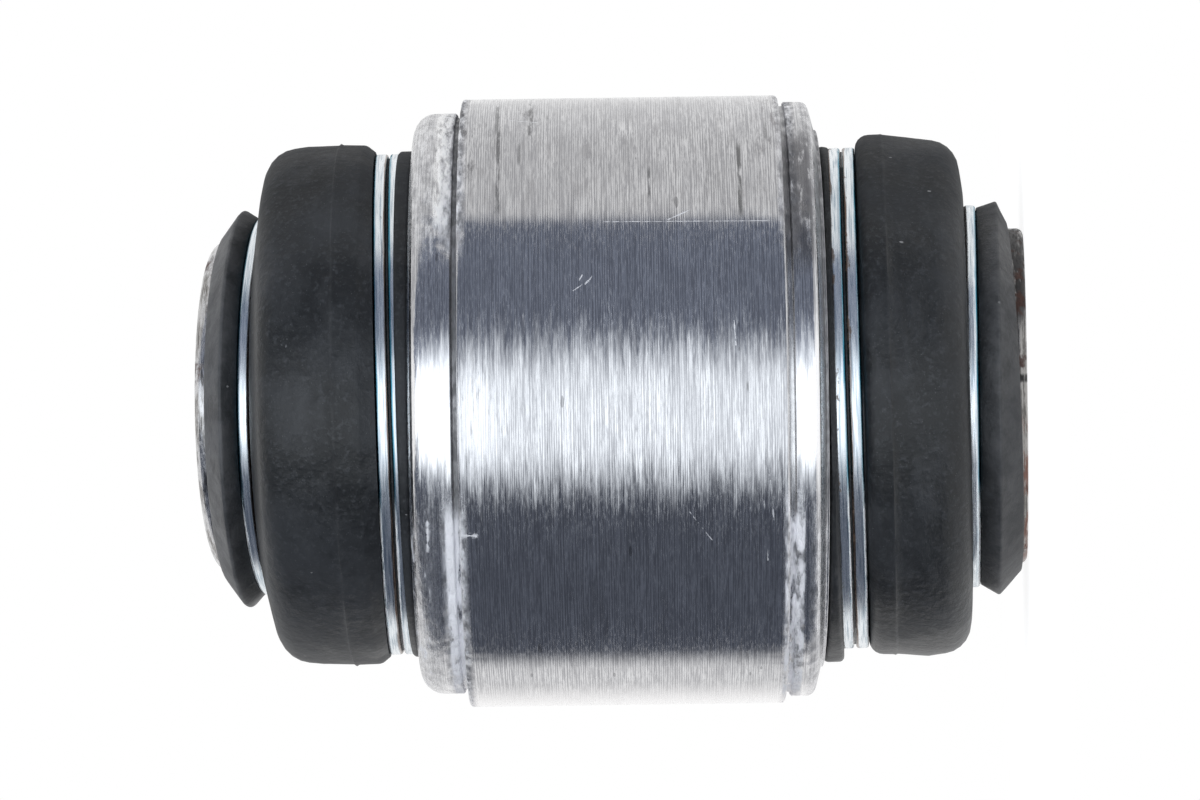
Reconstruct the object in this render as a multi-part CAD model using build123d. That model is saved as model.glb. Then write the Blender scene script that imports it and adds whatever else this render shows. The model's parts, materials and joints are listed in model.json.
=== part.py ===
"""Ball-sleeve joint bush: a steel ball sleeve that turns and swivels inside a turned steel housing.

Frame: millimetres, origin at the ball's centre, +Z along the sleeve's axis. The bush stands on the sleeve's lower
end face. The housing is held by the seats' friction a few degrees off the sleeve's axis, turned about X.
"""

from build123d import *
from math import radians, sin
import os

# ---- ball sleeve (heights and radii from the ball's centre and the sleeve's axis) ----
SLEEVE_HALF_LENGTH = 30.0
BOLT_BORE_R = 6.1
BORE_CHAMFER = 0.4
BALL_R = 14.0
NECK_R = 10.4
BALL_NECK_FILLET = 1.0
COLLAR_R = 12.35
UPPER_END_FILLET = 1.0
LOWER_END_FILLET = 0.5
COLLAR_Z = 28.1
BOOT_RECESS_R = 10.0
BOOT_RECESS_Z = 24.6

# ---- how the joint stands: the housing against the sleeve, the boots' beads against the housing ----
SWIVEL_DEG = 3.6
UPPER_BEAD_SKEW_DEG = 1.1
LOWER_BEAD_SKEW_DEG = -2.6
BEAD_LEAN_DEG = -0.9
UPPER_BELLOWS_DEG = 3.1
LOWER_BELLOWS_DEG = 1.3
BAND_OFFSET = -0.35

# ---- housing, outside (heights from the middle of its press-fit band) ----
BAND_R = 22.5
BAND_HALF = 11.6
BAND_EDGE_FILLET = 0.25
GROOVE_WIDTH = 0.4
UPPER_GROOVE_R = 21.15
LOWER_GROOVE_R = 21.7
UPPER_SHOULDER_R = 21.5
ROLLED_RIM_FILLET = 1.6
LOWER_SHOULDER_R = 22.0
LOWER_SHOULDER_HALF = 13.7
LOWER_CHAMFER_R = 19.9
LOWER_CHAMFER_HALF = 14.25
UPPER_END_HALF = 15.15
LOWER_END_HALF = 14.45
SPIGOT_R = 16.3
SPIGOT_HALF = 17.9
SPIGOT_EDGE_FILLET = 0.4

# ---- housing, inside (heights from the ball's centre) ----
SEAT_POCKET_R = 17.6
SEAT_HALF = 9.15
MOUTH_INNER_R = 13.3
MOUTH_OUTER_R = 13.9
MOUTH_Z = 13.0
CLOSING_FLANGE_Z = 12.9
RIM_HOOK_R = 16.45

# ---- ball seats ----
BALL_CLEARANCE = 0.03
SEAT_FIT_GAP = 0.02
SEAT_SPLIT_GAP = 0.1
SEAT_LIP_R = 11.92
SEAT_LIP_Z = 7.43
SEAT_EDGE_FILLET = 0.4
SEAT_SLOTS = 6
SEAT_SLOT_WIDTH = 1.0
SEAT_SLOT_Z = 3.0

# ---- dust boots: bead on the spigot, bellows wall, neck in the sleeve's recess ----
UPPER_BEAD_Z = 16.82
LOWER_BEAD_Z = 16.65
BEAD_FOOT = -2.6
BEAD_LIP_TOP = -1.03
BEAD_TOP = 1.03
UPPER_BEAD_LIP_R = 18.45
LOWER_BEAD_LIP_R = 19.0
BEAD_GROOVE_R = 17.1
BEAD_BORE_R = 16.45
BOOT_END_GAP = 0.05
NECK_BOOT_GAP = 0.05
NECK_GROOVE_R = 12.9
NECK_GROOVE_LOW = 25.6
NECK_LIP_LOW = 26.6
NECK_LIP_CORNER_R = 13.9
UPPER_LIP_RIM = (14.85, 27.7)
LOWER_LIP_RIM = (14.6, 28.15)
UPPER_LIP_TOP_Z = 29.1
LOWER_LIP_TOP_Z = 29.35
NECK_LIP_TOP_R = 13.0
NECK_INNER_Z = 24.75
# (radius, height, share of the swivel already taken up) from the bead to the neck
BELLOWS_OUTSIDE = [
    (19.2, 18.4, 0.0),
    (19.35, 19.95, 0.0),
    (19.2, 22.0, 0.0),
    (19.0, 23.6, 0.0),
    (18.4, 24.8, 0.05),
    (17.3, 25.4, 0.2),
    (15.6, 25.65, 0.6),
]
BELLOWS_INSIDE = [
    (17.2, 18.6, 0.0),
    (17.5, 20.2, 0.0),
    (17.4, 22.0, 0.0),
    (16.9, 23.4, 0.1),
    (15.6, 24.3, 0.35),
    (14.0, 24.6, 0.75),
]
BELLOWS_START_R = 18.7
BELLOWS_END_R = 13.4
BELLOWS_INNER_END_R = 12.0

# ---- clamps: two turns of flat wire on each bead, one split ring on each neck ----
WIRE_WIDTH = 0.92
WIRE_THICKNESS = 1.4
WIRE_EDGE = 0.2
TURN_RISE = 1.08
HOUSING_CLAMP_R = 17.15
FIRST_TURN_DEG = 320
STEP_DEG = 40
STEP_SECTIONS = 8
SECOND_TURN_DEG = 300
CLAMP_START_DEG = 110
NECK_CLAMP_R = 12.95
NECK_CLAMP_WIDTH = 0.92
NECK_CLAMP_THICKNESS = 1.15
NECK_CLAMP_EDGE = 0.3
NECK_CLAMP_SPLIT_DEG = 8

UPPER, LOWER = 1, -1


def turned(corners, radii=0.0):
    """Turn a closed outline of (radius, height) corners about Z, each corner rounded by its radius."""
    outline = FilletPolyline(*corners, radius=radii, close=True)
    return revolve(Plane.XZ * make_face(outline), Axis.Z)


def housing_place(z=0.0):
    """The place of something square on the housing's axis, z above the ball's centre."""
    return Rot(SWIVEL_DEG, 0, 0) * Pos(0, 0, z)


def bead_place(side):
    """The middle of a boot's bead on the spigot of the housing's upper or lower end, skewed as it sits there."""
    if side == UPPER:
        return housing_place(UPPER_BEAD_Z + BAND_OFFSET) * Rot(UPPER_BEAD_SKEW_DEG, BEAD_LEAN_DEG, 0)
    return housing_place(-LOWER_BEAD_Z + BAND_OFFSET) * Rot(LOWER_BEAD_SKEW_DEG, BEAD_LEAN_DEG, 0)


def ball_sleeve():
    """The one-piece sleeve: a ball between two necks, a recess and a collar at each end, bored for the bolt."""
    neck = Pos(NECK_R / 2, 0) * Rectangle(NECK_R, 2 * BOOT_RECESS_Z)
    ball = Circle(BALL_R) & Pos(BALL_R / 2, 0) * Rectangle(BALL_R, 2 * BALL_R)
    half = neck + ball
    junctions = [v for v in half.vertices() if abs(v.X - NECK_R) < 0.01 and abs(v.Y) < BALL_R]
    half = fillet(junctions, BALL_NECK_FILLET)
    half += Pos(BOOT_RECESS_R / 2, 0) * Rectangle(BOOT_RECESS_R, 2 * COLLAR_Z)
    for side, end_fillet in ((UPPER, UPPER_END_FILLET), (LOWER, LOWER_END_FILLET)):
        collar = FilletPolyline(
            (0, side * COLLAR_Z),
            (COLLAR_R, side * COLLAR_Z),
            (COLLAR_R, side * SLEEVE_HALF_LENGTH),
            (0, side * SLEEVE_HALF_LENGTH),
            radius=[0, 0, end_fillet, 0],
            close=True,
        )
        half += make_face(collar)
    half -= Rectangle(2 * BOLT_BORE_R, 2 * SLEEVE_HALF_LENGTH)
    mouths = [v for v in half.vertices() if abs(v.X - BOLT_BORE_R) < 0.01]
    return revolve(Plane.XZ * chamfer(mouths, BORE_CHAMFER), Axis.Z)


def outer_housing():
    """The turned housing: press-fit band, two grooved shoulders, rolled upper rim and lower spigot."""

    def low(height):
        return -height + BAND_OFFSET

    def high(height):
        return height + BAND_OFFSET

    outline = [
        ((SPIGOT_R, low(SPIGOT_HALF)), SPIGOT_EDGE_FILLET),
        ((SPIGOT_R, low(LOWER_END_HALF)), 0.2),
        ((LOWER_CHAMFER_R, low(LOWER_END_HALF)), 0.1),
        ((LOWER_CHAMFER_R, low(LOWER_CHAMFER_HALF)), 0.08),
        ((LOWER_SHOULDER_R, low(LOWER_SHOULDER_HALF)), 0.6),
        ((LOWER_SHOULDER_R, low(BAND_HALF + GROOVE_WIDTH)), 0.15),
        ((LOWER_GROOVE_R, low(BAND_HALF + GROOVE_WIDTH)), 0.1),
        ((LOWER_GROOVE_R, low(BAND_HALF)), 0.1),
        ((BAND_R, low(BAND_HALF)), BAND_EDGE_FILLET),
        ((BAND_R, high(BAND_HALF)), BAND_EDGE_FILLET),
        ((UPPER_GROOVE_R, high(BAND_HALF)), 0.1),
        ((UPPER_GROOVE_R, high(BAND_HALF + GROOVE_WIDTH)), 0.1),
        ((UPPER_SHOULDER_R, high(BAND_HALF + GROOVE_WIDTH)), 0.1),
        ((UPPER_SHOULDER_R, high(UPPER_END_HALF)), ROLLED_RIM_FILLET),
        ((RIM_HOOK_R, high(UPPER_END_HALF)), 0.3),
        ((RIM_HOOK_R, CLOSING_FLANGE_Z), 0.1),
        ((SEAT_POCKET_R, CLOSING_FLANGE_Z), 0.1),
        ((SEAT_POCKET_R, -SEAT_HALF), 0.2),
        ((MOUTH_INNER_R, -SEAT_HALF), 0.2),
        ((MOUTH_OUTER_R, -MOUTH_Z), 0.5),
        ((MOUTH_OUTER_R, low(SPIGOT_HALF)), SPIGOT_EDGE_FILLET),
    ]
    corners, radii = zip(*outline)
    return housing_place() * turned(corners, radii)


def closing_ring():
    """The ring that shuts the housing over the seats: a flange under the rolled rim and the upper spigot."""
    spigot_top = SPIGOT_HALF + BAND_OFFSET
    outline = [
        ((MOUTH_INNER_R, SEAT_HALF), 0.2),
        ((SEAT_POCKET_R - SEAT_FIT_GAP, SEAT_HALF), 0.2),
        ((SEAT_POCKET_R - SEAT_FIT_GAP, CLOSING_FLANGE_Z - SEAT_FIT_GAP), 0.2),
        ((SPIGOT_R, CLOSING_FLANGE_Z - SEAT_FIT_GAP), 0.1),
        ((SPIGOT_R, spigot_top), SPIGOT_EDGE_FILLET),
        ((MOUTH_OUTER_R, spigot_top), SPIGOT_EDGE_FILLET),
        ((MOUTH_OUTER_R, MOUTH_Z), 0.5),
    ]
    corners, radii = zip(*outline)
    return housing_place() * turned(corners, radii)


def ball_seat(side):
    """One half of the plastic seat: a cylinder hollowed to the ball, flared at its mouth and slotted."""
    outer_r = SEAT_POCKET_R - SEAT_FIT_GAP
    flare = (MOUTH_INNER_R - SEAT_LIP_R) / (SEAT_HALF - SEAT_LIP_Z)
    inner_r = SEAT_LIP_R - 1.0
    inner_z = SEAT_LIP_Z - 1.0 / flare
    top = SEAT_HALF - SEAT_FIT_GAP
    seat = turned(
        [
            (inner_r, SEAT_SPLIT_GAP / 2),
            (outer_r, SEAT_SPLIT_GAP / 2),
            (outer_r, top),
            (MOUTH_INNER_R, top),
            (inner_r, inner_z),
        ],
        [0, 0, SEAT_EDGE_FILLET, 0, 0],
    )
    seat -= Sphere(BALL_R + BALL_CLEARANCE)
    slot = Pos(outer_r / 2, 0, (SEAT_SLOT_Z + SEAT_HALF) / 2) * Box(
        outer_r, SEAT_SLOT_WIDTH, SEAT_HALF - SEAT_SLOT_Z
    )
    slots = [Rot(0, 0, 360 * i / SEAT_SLOTS) * Pos(outer_r / 4, 0, 0) * slot for i in range(SEAT_SLOTS)]
    seat -= slots
    if side == LOWER:
        seat = mirror(seat, about=Plane.XY)
    return housing_place() * seat


def bellows_section(side, radius, height, share):
    """A disc across the boot, part of the way from the housing's axis to the sleeve's."""
    offset = height * sin(radians(SWIVEL_DEG)) * (1 - share)
    turn = (UPPER_BELLOWS_DEG if side == UPPER else LOWER_BELLOWS_DEG) * (1 - share)
    place = Pos(0, -side * offset, side * height) * Rot(turn, BEAD_LEAN_DEG * (1 - share), 0)
    return place * Circle(radius)


def bead_section(side, radius, height):
    """A disc across the boot's bead, height above the bead's middle."""
    return bead_place(side) * Pos(0, 0, side * height) * Circle(radius)


def dust_boot(side):
    """A rubber boot: bead and lip on the spigot, bellows wall, neck and lip round the sleeve's collar."""
    neck_bore_r = BOOT_RECESS_R + NECK_BOOT_GAP
    collar_r = COLLAR_R + NECK_BOOT_GAP
    collar_low = COLLAR_Z - NECK_BOOT_GAP
    lip_r = UPPER_BEAD_LIP_R if side == UPPER else LOWER_BEAD_LIP_R
    lip_rim = UPPER_LIP_RIM if side == UPPER else LOWER_LIP_RIM
    lip_top = UPPER_LIP_TOP_Z if side == UPPER else LOWER_LIP_TOP_Z
    neck = turned(
        [
            (neck_bore_r, NECK_INNER_Z),
            (BELLOWS_END_R, NECK_INNER_Z),
            (BELLOWS_END_R, NECK_GROOVE_LOW),
            (NECK_GROOVE_R, NECK_GROOVE_LOW),
            (NECK_GROOVE_R, NECK_LIP_LOW),
            (NECK_LIP_CORNER_R, NECK_LIP_LOW),
            lip_rim,
            (NECK_LIP_TOP_R, lip_top),
            (collar_r, lip_top),
            (collar_r, collar_low),
            (neck_bore_r, collar_low),
        ],
        [0, 0, 0, 0, 0, 0.15, 0.3, 0.15, 0, 0, 0],
    )
    bead = turned(
        [
            (BEAD_BORE_R, BEAD_FOOT),
            (lip_r, BEAD_FOOT),
            (lip_r, BEAD_LIP_TOP),
            (BEAD_GROOVE_R, BEAD_LIP_TOP),
            (BEAD_GROOVE_R, BEAD_TOP + 0.2),
            (BEAD_BORE_R, BEAD_TOP + 0.2),
        ],
        [0, 0, 0.3, 0, 0, 0],
    )
    if side == LOWER:
        neck, bead = mirror(neck, about=Plane.XY), mirror(bead, about=Plane.XY)
    outside = loft(
        [bead_section(side, BELLOWS_START_R, BEAD_TOP)]
        + [bellows_section(side, *station) for station in BELLOWS_OUTSIDE]
        + [bellows_section(side, BELLOWS_END_R, NECK_GROOVE_LOW, 1.0)]
    )
    inside = loft(
        [bead_section(side, BEAD_BORE_R, BEAD_TOP - 0.1)]
        + [bellows_section(side, *station) for station in BELLOWS_INSIDE]
        + [bellows_section(side, BELLOWS_INNER_END_R, NECK_INNER_Z, 1.0)]
    )
    neck_core = Pos(0, 0, side * NECK_INNER_Z) * Cylinder(neck_bore_r, 2.0)
    clamp_z = side * (NECK_GROOVE_LOW + NECK_LIP_LOW) / 2
    clamp_groove = Cylinder(NECK_LIP_CORNER_R + 0.5, NECK_LIP_LOW - NECK_GROOVE_LOW) - Cylinder(NECK_GROOVE_R, 2.0)
    end_half = UPPER_END_HALF if side == UPPER else LOWER_END_HALF
    housing_end = side * (end_half + BOOT_END_GAP) + BAND_OFFSET
    housing_side = housing_place(housing_end - side * BAND_R) * Box(60, 60, 2 * BAND_R)
    boot = (outside - inside - neck_core) + neck + bead_place(side) * bead
    return boot - Pos(0, 0, clamp_z) * clamp_groove - housing_side


def wire_section(angle, rise):
    """The flat wire's section where it stands at an angle round the bead, at a height on it."""
    middle_r = HOUSING_CLAMP_R + WIRE_THICKNESS / 2
    return Plane.XZ.rotated((0, 0, angle)) * Pos(middle_r, rise) * RectangleRounded(
        WIRE_THICKNESS, WIRE_WIDTH, WIRE_EDGE
    )


def housing_clamp(side):
    """Two turns of flat wire: one flat turn, a step of one wire, and a second flat turn beside the first."""
    low, high = -TURN_RISE / 2, TURN_RISE / 2
    first = revolve(wire_section(0, low), Axis.Z, revolution_arc=FIRST_TURN_DEG)
    second = revolve(wire_section(FIRST_TURN_DEG + STEP_DEG, high), Axis.Z, revolution_arc=SECOND_TURN_DEG)
    steps = [i / STEP_SECTIONS for i in range(STEP_SECTIONS + 1)]
    step = loft(
        [
            wire_section(FIRST_TURN_DEG + STEP_DEG * t, low + TURN_RISE * t * t * (3 - 2 * t))
            for t in steps
        ]
    )
    wire = first + step + second
    if side == LOWER:
        wire = mirror(wire, about=Plane.XY)
    return bead_place(side) * Rot(0, 0, CLAMP_START_DEG) * wire


def neck_clamp(side):
    """A split ring of rounded flat wire round the boot's neck, open at the rear."""
    middle_r = NECK_CLAMP_R + NECK_CLAMP_THICKNESS / 2
    middle_z = NECK_GROOVE_LOW + (NECK_LIP_LOW - NECK_GROOVE_LOW) / 2
    section = Plane.XZ * Pos(middle_r, 0, 0) * RectangleRounded(
        NECK_CLAMP_THICKNESS, NECK_CLAMP_WIDTH, NECK_CLAMP_EDGE
    )
    ring = revolve(section, Axis.Z, revolution_arc=360 - NECK_CLAMP_SPLIT_DEG)
    return Pos(0, 0, side * middle_z) * Rot(0, 0, 90) * ring


def pieces():
    """Every node of the bush by name."""
    made = {
        "ball_sleeve": ball_sleeve(),
        "outer_housing": outer_housing(),
        "closing_ring": closing_ring(),
    }
    for name, side in (("upper", UPPER), ("lower", LOWER)):
        made[f"{name}_ball_seat"] = ball_seat(side)
        made[f"{name}_boot"] = dust_boot(side)
        made[f"{name}_housing_clamp"] = housing_clamp(side)
        made[f"{name}_neck_clamp"] = neck_clamp(side)
    return made


os.makedirs("parts", exist_ok=True)
for node, shape in pieces().items():
    export_step(shape, f"parts/{node}.step")
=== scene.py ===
"""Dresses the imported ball-sleeve joint bush: turned steel, dusty rubber boots and plated wire clamps.

Sizes are written in millimetres and turned to metres as meshes are made. The frame is the part's own: the
origin is the ball's centre, +Z runs along the sleeve and the housing is swivelled about X.
"""

from __future__ import annotations

import functools
import json
import logging
import math
from dataclasses import astuple, dataclass, replace
from enum import Enum
from typing import Any, Callable, Iterable, Sequence

import bmesh
import bpy
from mathutils import Matrix, Vector

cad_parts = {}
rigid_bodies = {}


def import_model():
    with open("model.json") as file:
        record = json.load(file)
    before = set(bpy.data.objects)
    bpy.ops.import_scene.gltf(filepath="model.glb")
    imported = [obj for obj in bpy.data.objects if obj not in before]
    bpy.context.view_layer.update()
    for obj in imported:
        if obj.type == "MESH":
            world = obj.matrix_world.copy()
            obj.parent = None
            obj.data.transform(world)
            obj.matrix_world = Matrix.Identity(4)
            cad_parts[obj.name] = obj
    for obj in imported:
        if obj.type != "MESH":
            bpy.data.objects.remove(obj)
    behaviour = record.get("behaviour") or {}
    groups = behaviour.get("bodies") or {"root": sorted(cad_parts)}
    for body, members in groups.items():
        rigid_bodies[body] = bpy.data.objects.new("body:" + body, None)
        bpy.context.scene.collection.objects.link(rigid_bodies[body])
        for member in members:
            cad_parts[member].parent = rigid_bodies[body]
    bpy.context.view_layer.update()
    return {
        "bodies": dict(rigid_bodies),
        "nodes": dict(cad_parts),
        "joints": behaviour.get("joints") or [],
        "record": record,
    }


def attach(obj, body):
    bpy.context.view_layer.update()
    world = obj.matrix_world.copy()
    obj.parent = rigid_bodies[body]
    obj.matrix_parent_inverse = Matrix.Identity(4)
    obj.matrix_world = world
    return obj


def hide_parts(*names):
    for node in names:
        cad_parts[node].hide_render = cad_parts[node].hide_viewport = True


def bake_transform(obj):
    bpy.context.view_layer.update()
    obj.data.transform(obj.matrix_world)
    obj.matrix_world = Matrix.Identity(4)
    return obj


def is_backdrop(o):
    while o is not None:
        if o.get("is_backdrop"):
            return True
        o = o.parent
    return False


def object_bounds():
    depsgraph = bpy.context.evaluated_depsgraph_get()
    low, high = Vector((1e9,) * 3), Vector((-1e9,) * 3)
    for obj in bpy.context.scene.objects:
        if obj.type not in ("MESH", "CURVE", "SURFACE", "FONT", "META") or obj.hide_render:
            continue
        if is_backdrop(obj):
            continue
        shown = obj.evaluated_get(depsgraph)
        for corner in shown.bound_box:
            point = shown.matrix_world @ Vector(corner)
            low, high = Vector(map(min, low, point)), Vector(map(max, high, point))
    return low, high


LOG = logging.getLogger("bush")
MM = 0.001
FIXED_SEED = 7.0
SHARP_FROM_DEGREES = 40.0
FULL_TURN = 2 * math.pi
UPPER_BEAD_TURN, UPPER_BEAD_MID = 4.7, 16.47
LOWER_BEAD_TURN, LOWER_BEAD_MID = 1.0, 17.0
BEAD_LEAN = -0.9
Colour = tuple[float, float, float]
Settings = dict[str, Any] | None
WHITE = (1.0, 1.0, 1.0)
COOL_WHITE = (0.95, 1.0, 1.05)
COOL_GREY = (0.85, 0.95, 1.2)


class Side(Enum):
    """The two ends of the bush; the value is the sign of Z there."""

    UPPER = 1
    LOWER = -1

    @property
    def label(self) -> str:
        """The word that this end's nodes start with."""
        return self.name.lower()


def mix(first: float, second: float, share: float) -> float:
    """Returns the number at a share of the way from the first to the second."""
    return first + (second - first) * share


def show(name: str, data: Any) -> bpy.types.Object:
    """Links mesh, lamp or camera data into the scene as an object.

    Args:
        name: The object's name.
        data: What it shows.

    Returns:
        The object, at the origin.
    """
    shown = bpy.data.objects.new(name, data)
    bpy.context.scene.collection.objects.link(shown)
    return shown


# Outlines: closed runs of rounded corners, each point knowing how it is held between housing and sleeve


@dataclass(frozen=True)
class Hold:
    """How a ring of the shape stands, in degrees.

    Attributes:
        swing: Turn of the ring's centre about the ball's centre, about X.
        tilt: Turn of the ring's own plane about X.
        lean: Turn of the ring's own plane about Y.
        shift: Move of the ring along X, in millimetres.
    """

    swing: float = 0.0
    tilt: float = 0.0
    lean: float = 0.0
    shift: float = 0.0

    def toward(self, other: Hold, share: float) -> Hold:
        """Returns the hold at a share of the way to another."""
        return Hold(*(mix(mine, its, share) for mine, its in zip(astuple(self), astuple(other))))


SQUARE_ON_SLEEVE = Hold()


@dataclass(frozen=True)
class Station:
    """One point of an outline in millimetres.

    Attributes:
        r: Distance from the axis.
        z: Height along the axis.
        hold: How the ring through this point stands.
        wear: How much the surface is roughened here, from 0 to 1.
        grime: How much dirt has settled here, from 0 to 1.
        dip: How far the surface sinks at the back, in millimetres.
    """

    NUMBERS = ("r", "z", "wear", "grime", "dip")

    r: float
    z: float
    hold: Hold = SQUARE_ON_SLEEVE
    wear: float = 0.0
    grime: float = 0.0
    dip: float = 0.0

    def moved(self, place: Vector) -> Station:
        """Returns a point like this one at another radius and height."""
        return Station(place.x, place.y, self.hold, self.wear, self.grime, self.dip)

    def toward(self, other: Station, share: float) -> Station:
        """Returns the point at a share of the way to another."""
        mixed = {key: mix(getattr(self, key), getattr(other, key), share) for key in self.NUMBERS}
        return Station(hold=self.hold.toward(other.hold, share), **mixed)


@dataclass(frozen=True)
class Corner(Station):
    """A corner of an outline.

    Attributes:
        round: Radius that the corner is rounded to.
        step: Longest step of the straight run after it, or 0 for the outline's own.
    """

    round: float = 0.0
    step: float = 0.0


class Outline:
    """A closed outline with rounded corners, divided finely enough to bend and wear."""

    ARC_STEP = 18.0

    def __init__(self, corners: Sequence[Corner], spacing: float) -> None:
        """Sets the outline up.

        Args:
            corners: The corners in order round the outline.
            spacing: Longest straight step in millimetres.
        """
        self.corners = list(corners)
        self.spacing = spacing

    def stations(self) -> list[Station]:
        """Returns the outline's points: each corner's arc and the straight run up to the next."""
        count = len(self.corners)
        before, after = self.corners[-1:] + self.corners[:-1], self.corners[1:] + self.corners[:1]
        arcs = [self._arc(*three) for three in zip(before, self.corners, after)]
        points: list[Station] = []
        for i, arc in enumerate(arcs):
            start, end = arc[-1], arcs[(i + 1) % count][0]
            length = math.hypot(end.r - start.r, end.z - start.z)
            steps = max(1, math.ceil(length / (self.corners[i].step or self.spacing)))
            points += arc + [start.toward(end, k / steps) for k in range(1, steps)]
        return points

    def _arc(self, before: Corner, corner: Corner, after: Corner) -> list[Station]:
        """Rounds one corner.

        Args:
            before: The corner before it.
            corner: The corner to round.
            after: The corner after it.

        Returns:
            The points of the arc, or the corner alone where it is sharp.
        """
        here = Vector((corner.r, corner.z))
        if corner.round <= 0.0:
            return [corner.moved(here)]
        back = (Vector((before.r, before.z)) - here).normalized()
        ahead = (Vector((after.r, after.z)) - here).normalized()
        opening = back.angle(ahead)
        run = corner.round / math.tan(opening / 2)
        middle = here + (back + ahead).normalized() * (corner.round / math.sin(opening / 2))
        first, last = here + back * run - middle, here + ahead * run - middle
        turn = first.angle_signed(last)
        steps = max(2, math.ceil(abs(math.degrees(turn)) / self.ARC_STEP))
        points = []
        for i in range(steps + 1):
            spoke = first.copy()
            spoke.rotate(Matrix.Rotation(-turn * i / steps, 2))
            points.append(corner.moved(middle + spoke))
        return points


# Nodes: short words for laying them, and reckoning with their sockets


def sign(operation: str) -> Callable[..., Value]:
    """Returns a method that lays a Math node on a value and another number or value."""
    return lambda value, other=0.0: value.wire.maths(operation, value, other)


class Value:
    """A socket to reckon with: each sign lays a Math node in its tree."""

    __add__, __sub__, __mul__, __truediv__ = sign("ADD"), sign("SUBTRACT"), sign("MULTIPLY"), sign("DIVIDE")
    __abs__, at_least = sign("ABSOLUTE"), sign("MAXIMUM")

    def __init__(self, wire: Wiring, socket: Any) -> None:
        """Remembers the tree's wiring and the socket."""
        self.wire, self.socket = wire, socket

    def __rsub__(self, other: Any) -> Value:
        """Returns what is left of a number."""
        return self.wire.maths("SUBTRACT", other, self)

    def ramp(self, low: Any, high: Any, out_low: float = 0.0, out_high: float = 1.0) -> Value:
        """Returns a smooth, clamped change from one result to the other as this goes from low to high."""
        ends = {"From_Min": low, "From_Max": high, "To_Min": out_low, "To_Max": out_high}
        return self.wire.value("MapRange", 0, {"interpolation_type": "SMOOTHSTEP"}, Value=self, **ends)

    def axes(self) -> tuple[Value, ...]:
        """Returns a vector's X, Y and Z."""
        return tuple(self.wire.values("SeparateXYZ", Vector=self).values())

    def stretched(self, along: float, across: float) -> Value:
        """Returns a vector scaled differently along Z and across it."""
        return self.wire.vectors("MULTIPLY", self, (across, across, along))


class Wiring:
    """Short words for laying and linking the nodes of one tree."""

    def __init__(self, tree: Any) -> None:
        """Remembers the tree."""
        self.nodes, self.links = tree.nodes, tree.links

    def add(self, kind: str, settings: Settings = None, **inputs: Any) -> Any:
        """Adds a node.

        Args:
            kind: The node's type; a shader node's leaves off its first words.
            settings: Attributes to set on the node.
            **inputs: Input names, with spaces as underscores, and what put() takes for them.

        Returns:
            The node.
        """
        node = self.nodes.new(kind if kind.startswith(("Geometry", "NodeGroup")) else f"ShaderNode{kind}")
        for key, value in (settings or {}).items():
            setattr(node, key, value)
        for key, value in inputs.items():
            self.put(node.inputs[key.replace("_", " ")], value)
        return node

    def value(self, kind: str, output: str | int = 0, settings: Settings = None, **inputs: Any) -> Value:
        """Adds a node as add() does, and returns the output of that name or number."""
        return Value(self, self.add(kind, settings, **inputs).outputs[output])

    def values(self, kind: str, settings: Settings = None, **inputs: Any) -> dict[str, Value]:
        """Adds a node as add() does, and returns all its outputs by name."""
        return {socket.name: Value(self, socket) for socket in self.add(kind, settings, **inputs).outputs}

    def row(self, kind: str, settings: dict[str, Any], *given: Any) -> Value:
        """Adds a node and fills its inputs in order.

        Args:
            kind: The node's type, as add() takes it.
            settings: Attributes to set on the node.
            *given: What put() takes for each input.

        Returns:
            The node's first output that has a use.
        """
        node = self.add(kind, settings)
        for socket, value in zip(node.inputs, given):
            self.put(socket, value)
        return Value(self, next(socket for socket in node.outputs if socket.enabled))

    def put(self, socket: Any, value: Any) -> None:
        """Sets a socket, or links a value to it.

        Args:
            socket: The socket.
            value: A number, text, vector or colour, a Value to link, or None to leave the socket alone.
        """
        if isinstance(value, Value):
            self.links.new(value.socket, socket)
        elif value is not None:
            socket.default_value = (*value, 1.0) if socket.type == "RGBA" and len(value) == 3 else value

    def maths(self, operation: str, first: Any, second: Any = 0.0, clamp: bool = False) -> Value:
        """Adds a Math node and returns its result."""
        return self.row("Math", {"operation": operation, "use_clamp": clamp}, first, second)

    def vectors(self, operation: str, *given: Any) -> Value:
        """Adds a Vector Math node and returns its result: a number for a dot product or a length."""
        return self.row("VectorMath", {"operation": operation}, *given)

    def noise(self, vector: Any, scale: Any, detail: float, roughness: float = 0.5) -> Value:
        """Adds a Noise Texture node and returns its strength."""
        return self.value("TexNoise", "Fac", Vector=vector, Scale=scale, Detail=detail, Roughness=roughness)

    def blend(self, amount: Any, first: Any, second: Any) -> Value:
        """Returns two colours mixed."""
        return self.value("Mix", "Result", {"data_type": "RGBA"}, Factor=amount, A=first, B=second)


def declare(tree: Any, inputs: dict[str, Any], outputs: Iterable[str], kind: str = "Float") -> dict[str, str]:
    """Adds named sockets to a tree.

    Args:
        tree: The tree.
        inputs: Names with a default number, or with the kind of a socket that has no default.
        outputs: Names.
        kind: The outputs' kind.

    Returns:
        Each input's identifier by its name.
    """
    found = {}
    for name, value in inputs.items():
        word = value if isinstance(value, str) else "Int" if isinstance(value, int) else "Float"
        socket = tree.interface.new_socket(name, in_out="INPUT", socket_type=f"NodeSocket{word}")
        if not isinstance(value, str):
            socket.default_value = value
        found[name] = socket.identifier
    for name in outputs:
        tree.interface.new_socket(name, in_out="OUTPUT", socket_type=f"NodeSocket{kind}")
    return found


# Geometry Nodes: one lathe for the housing and the boots, which are turned or moulded round an axis


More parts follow.
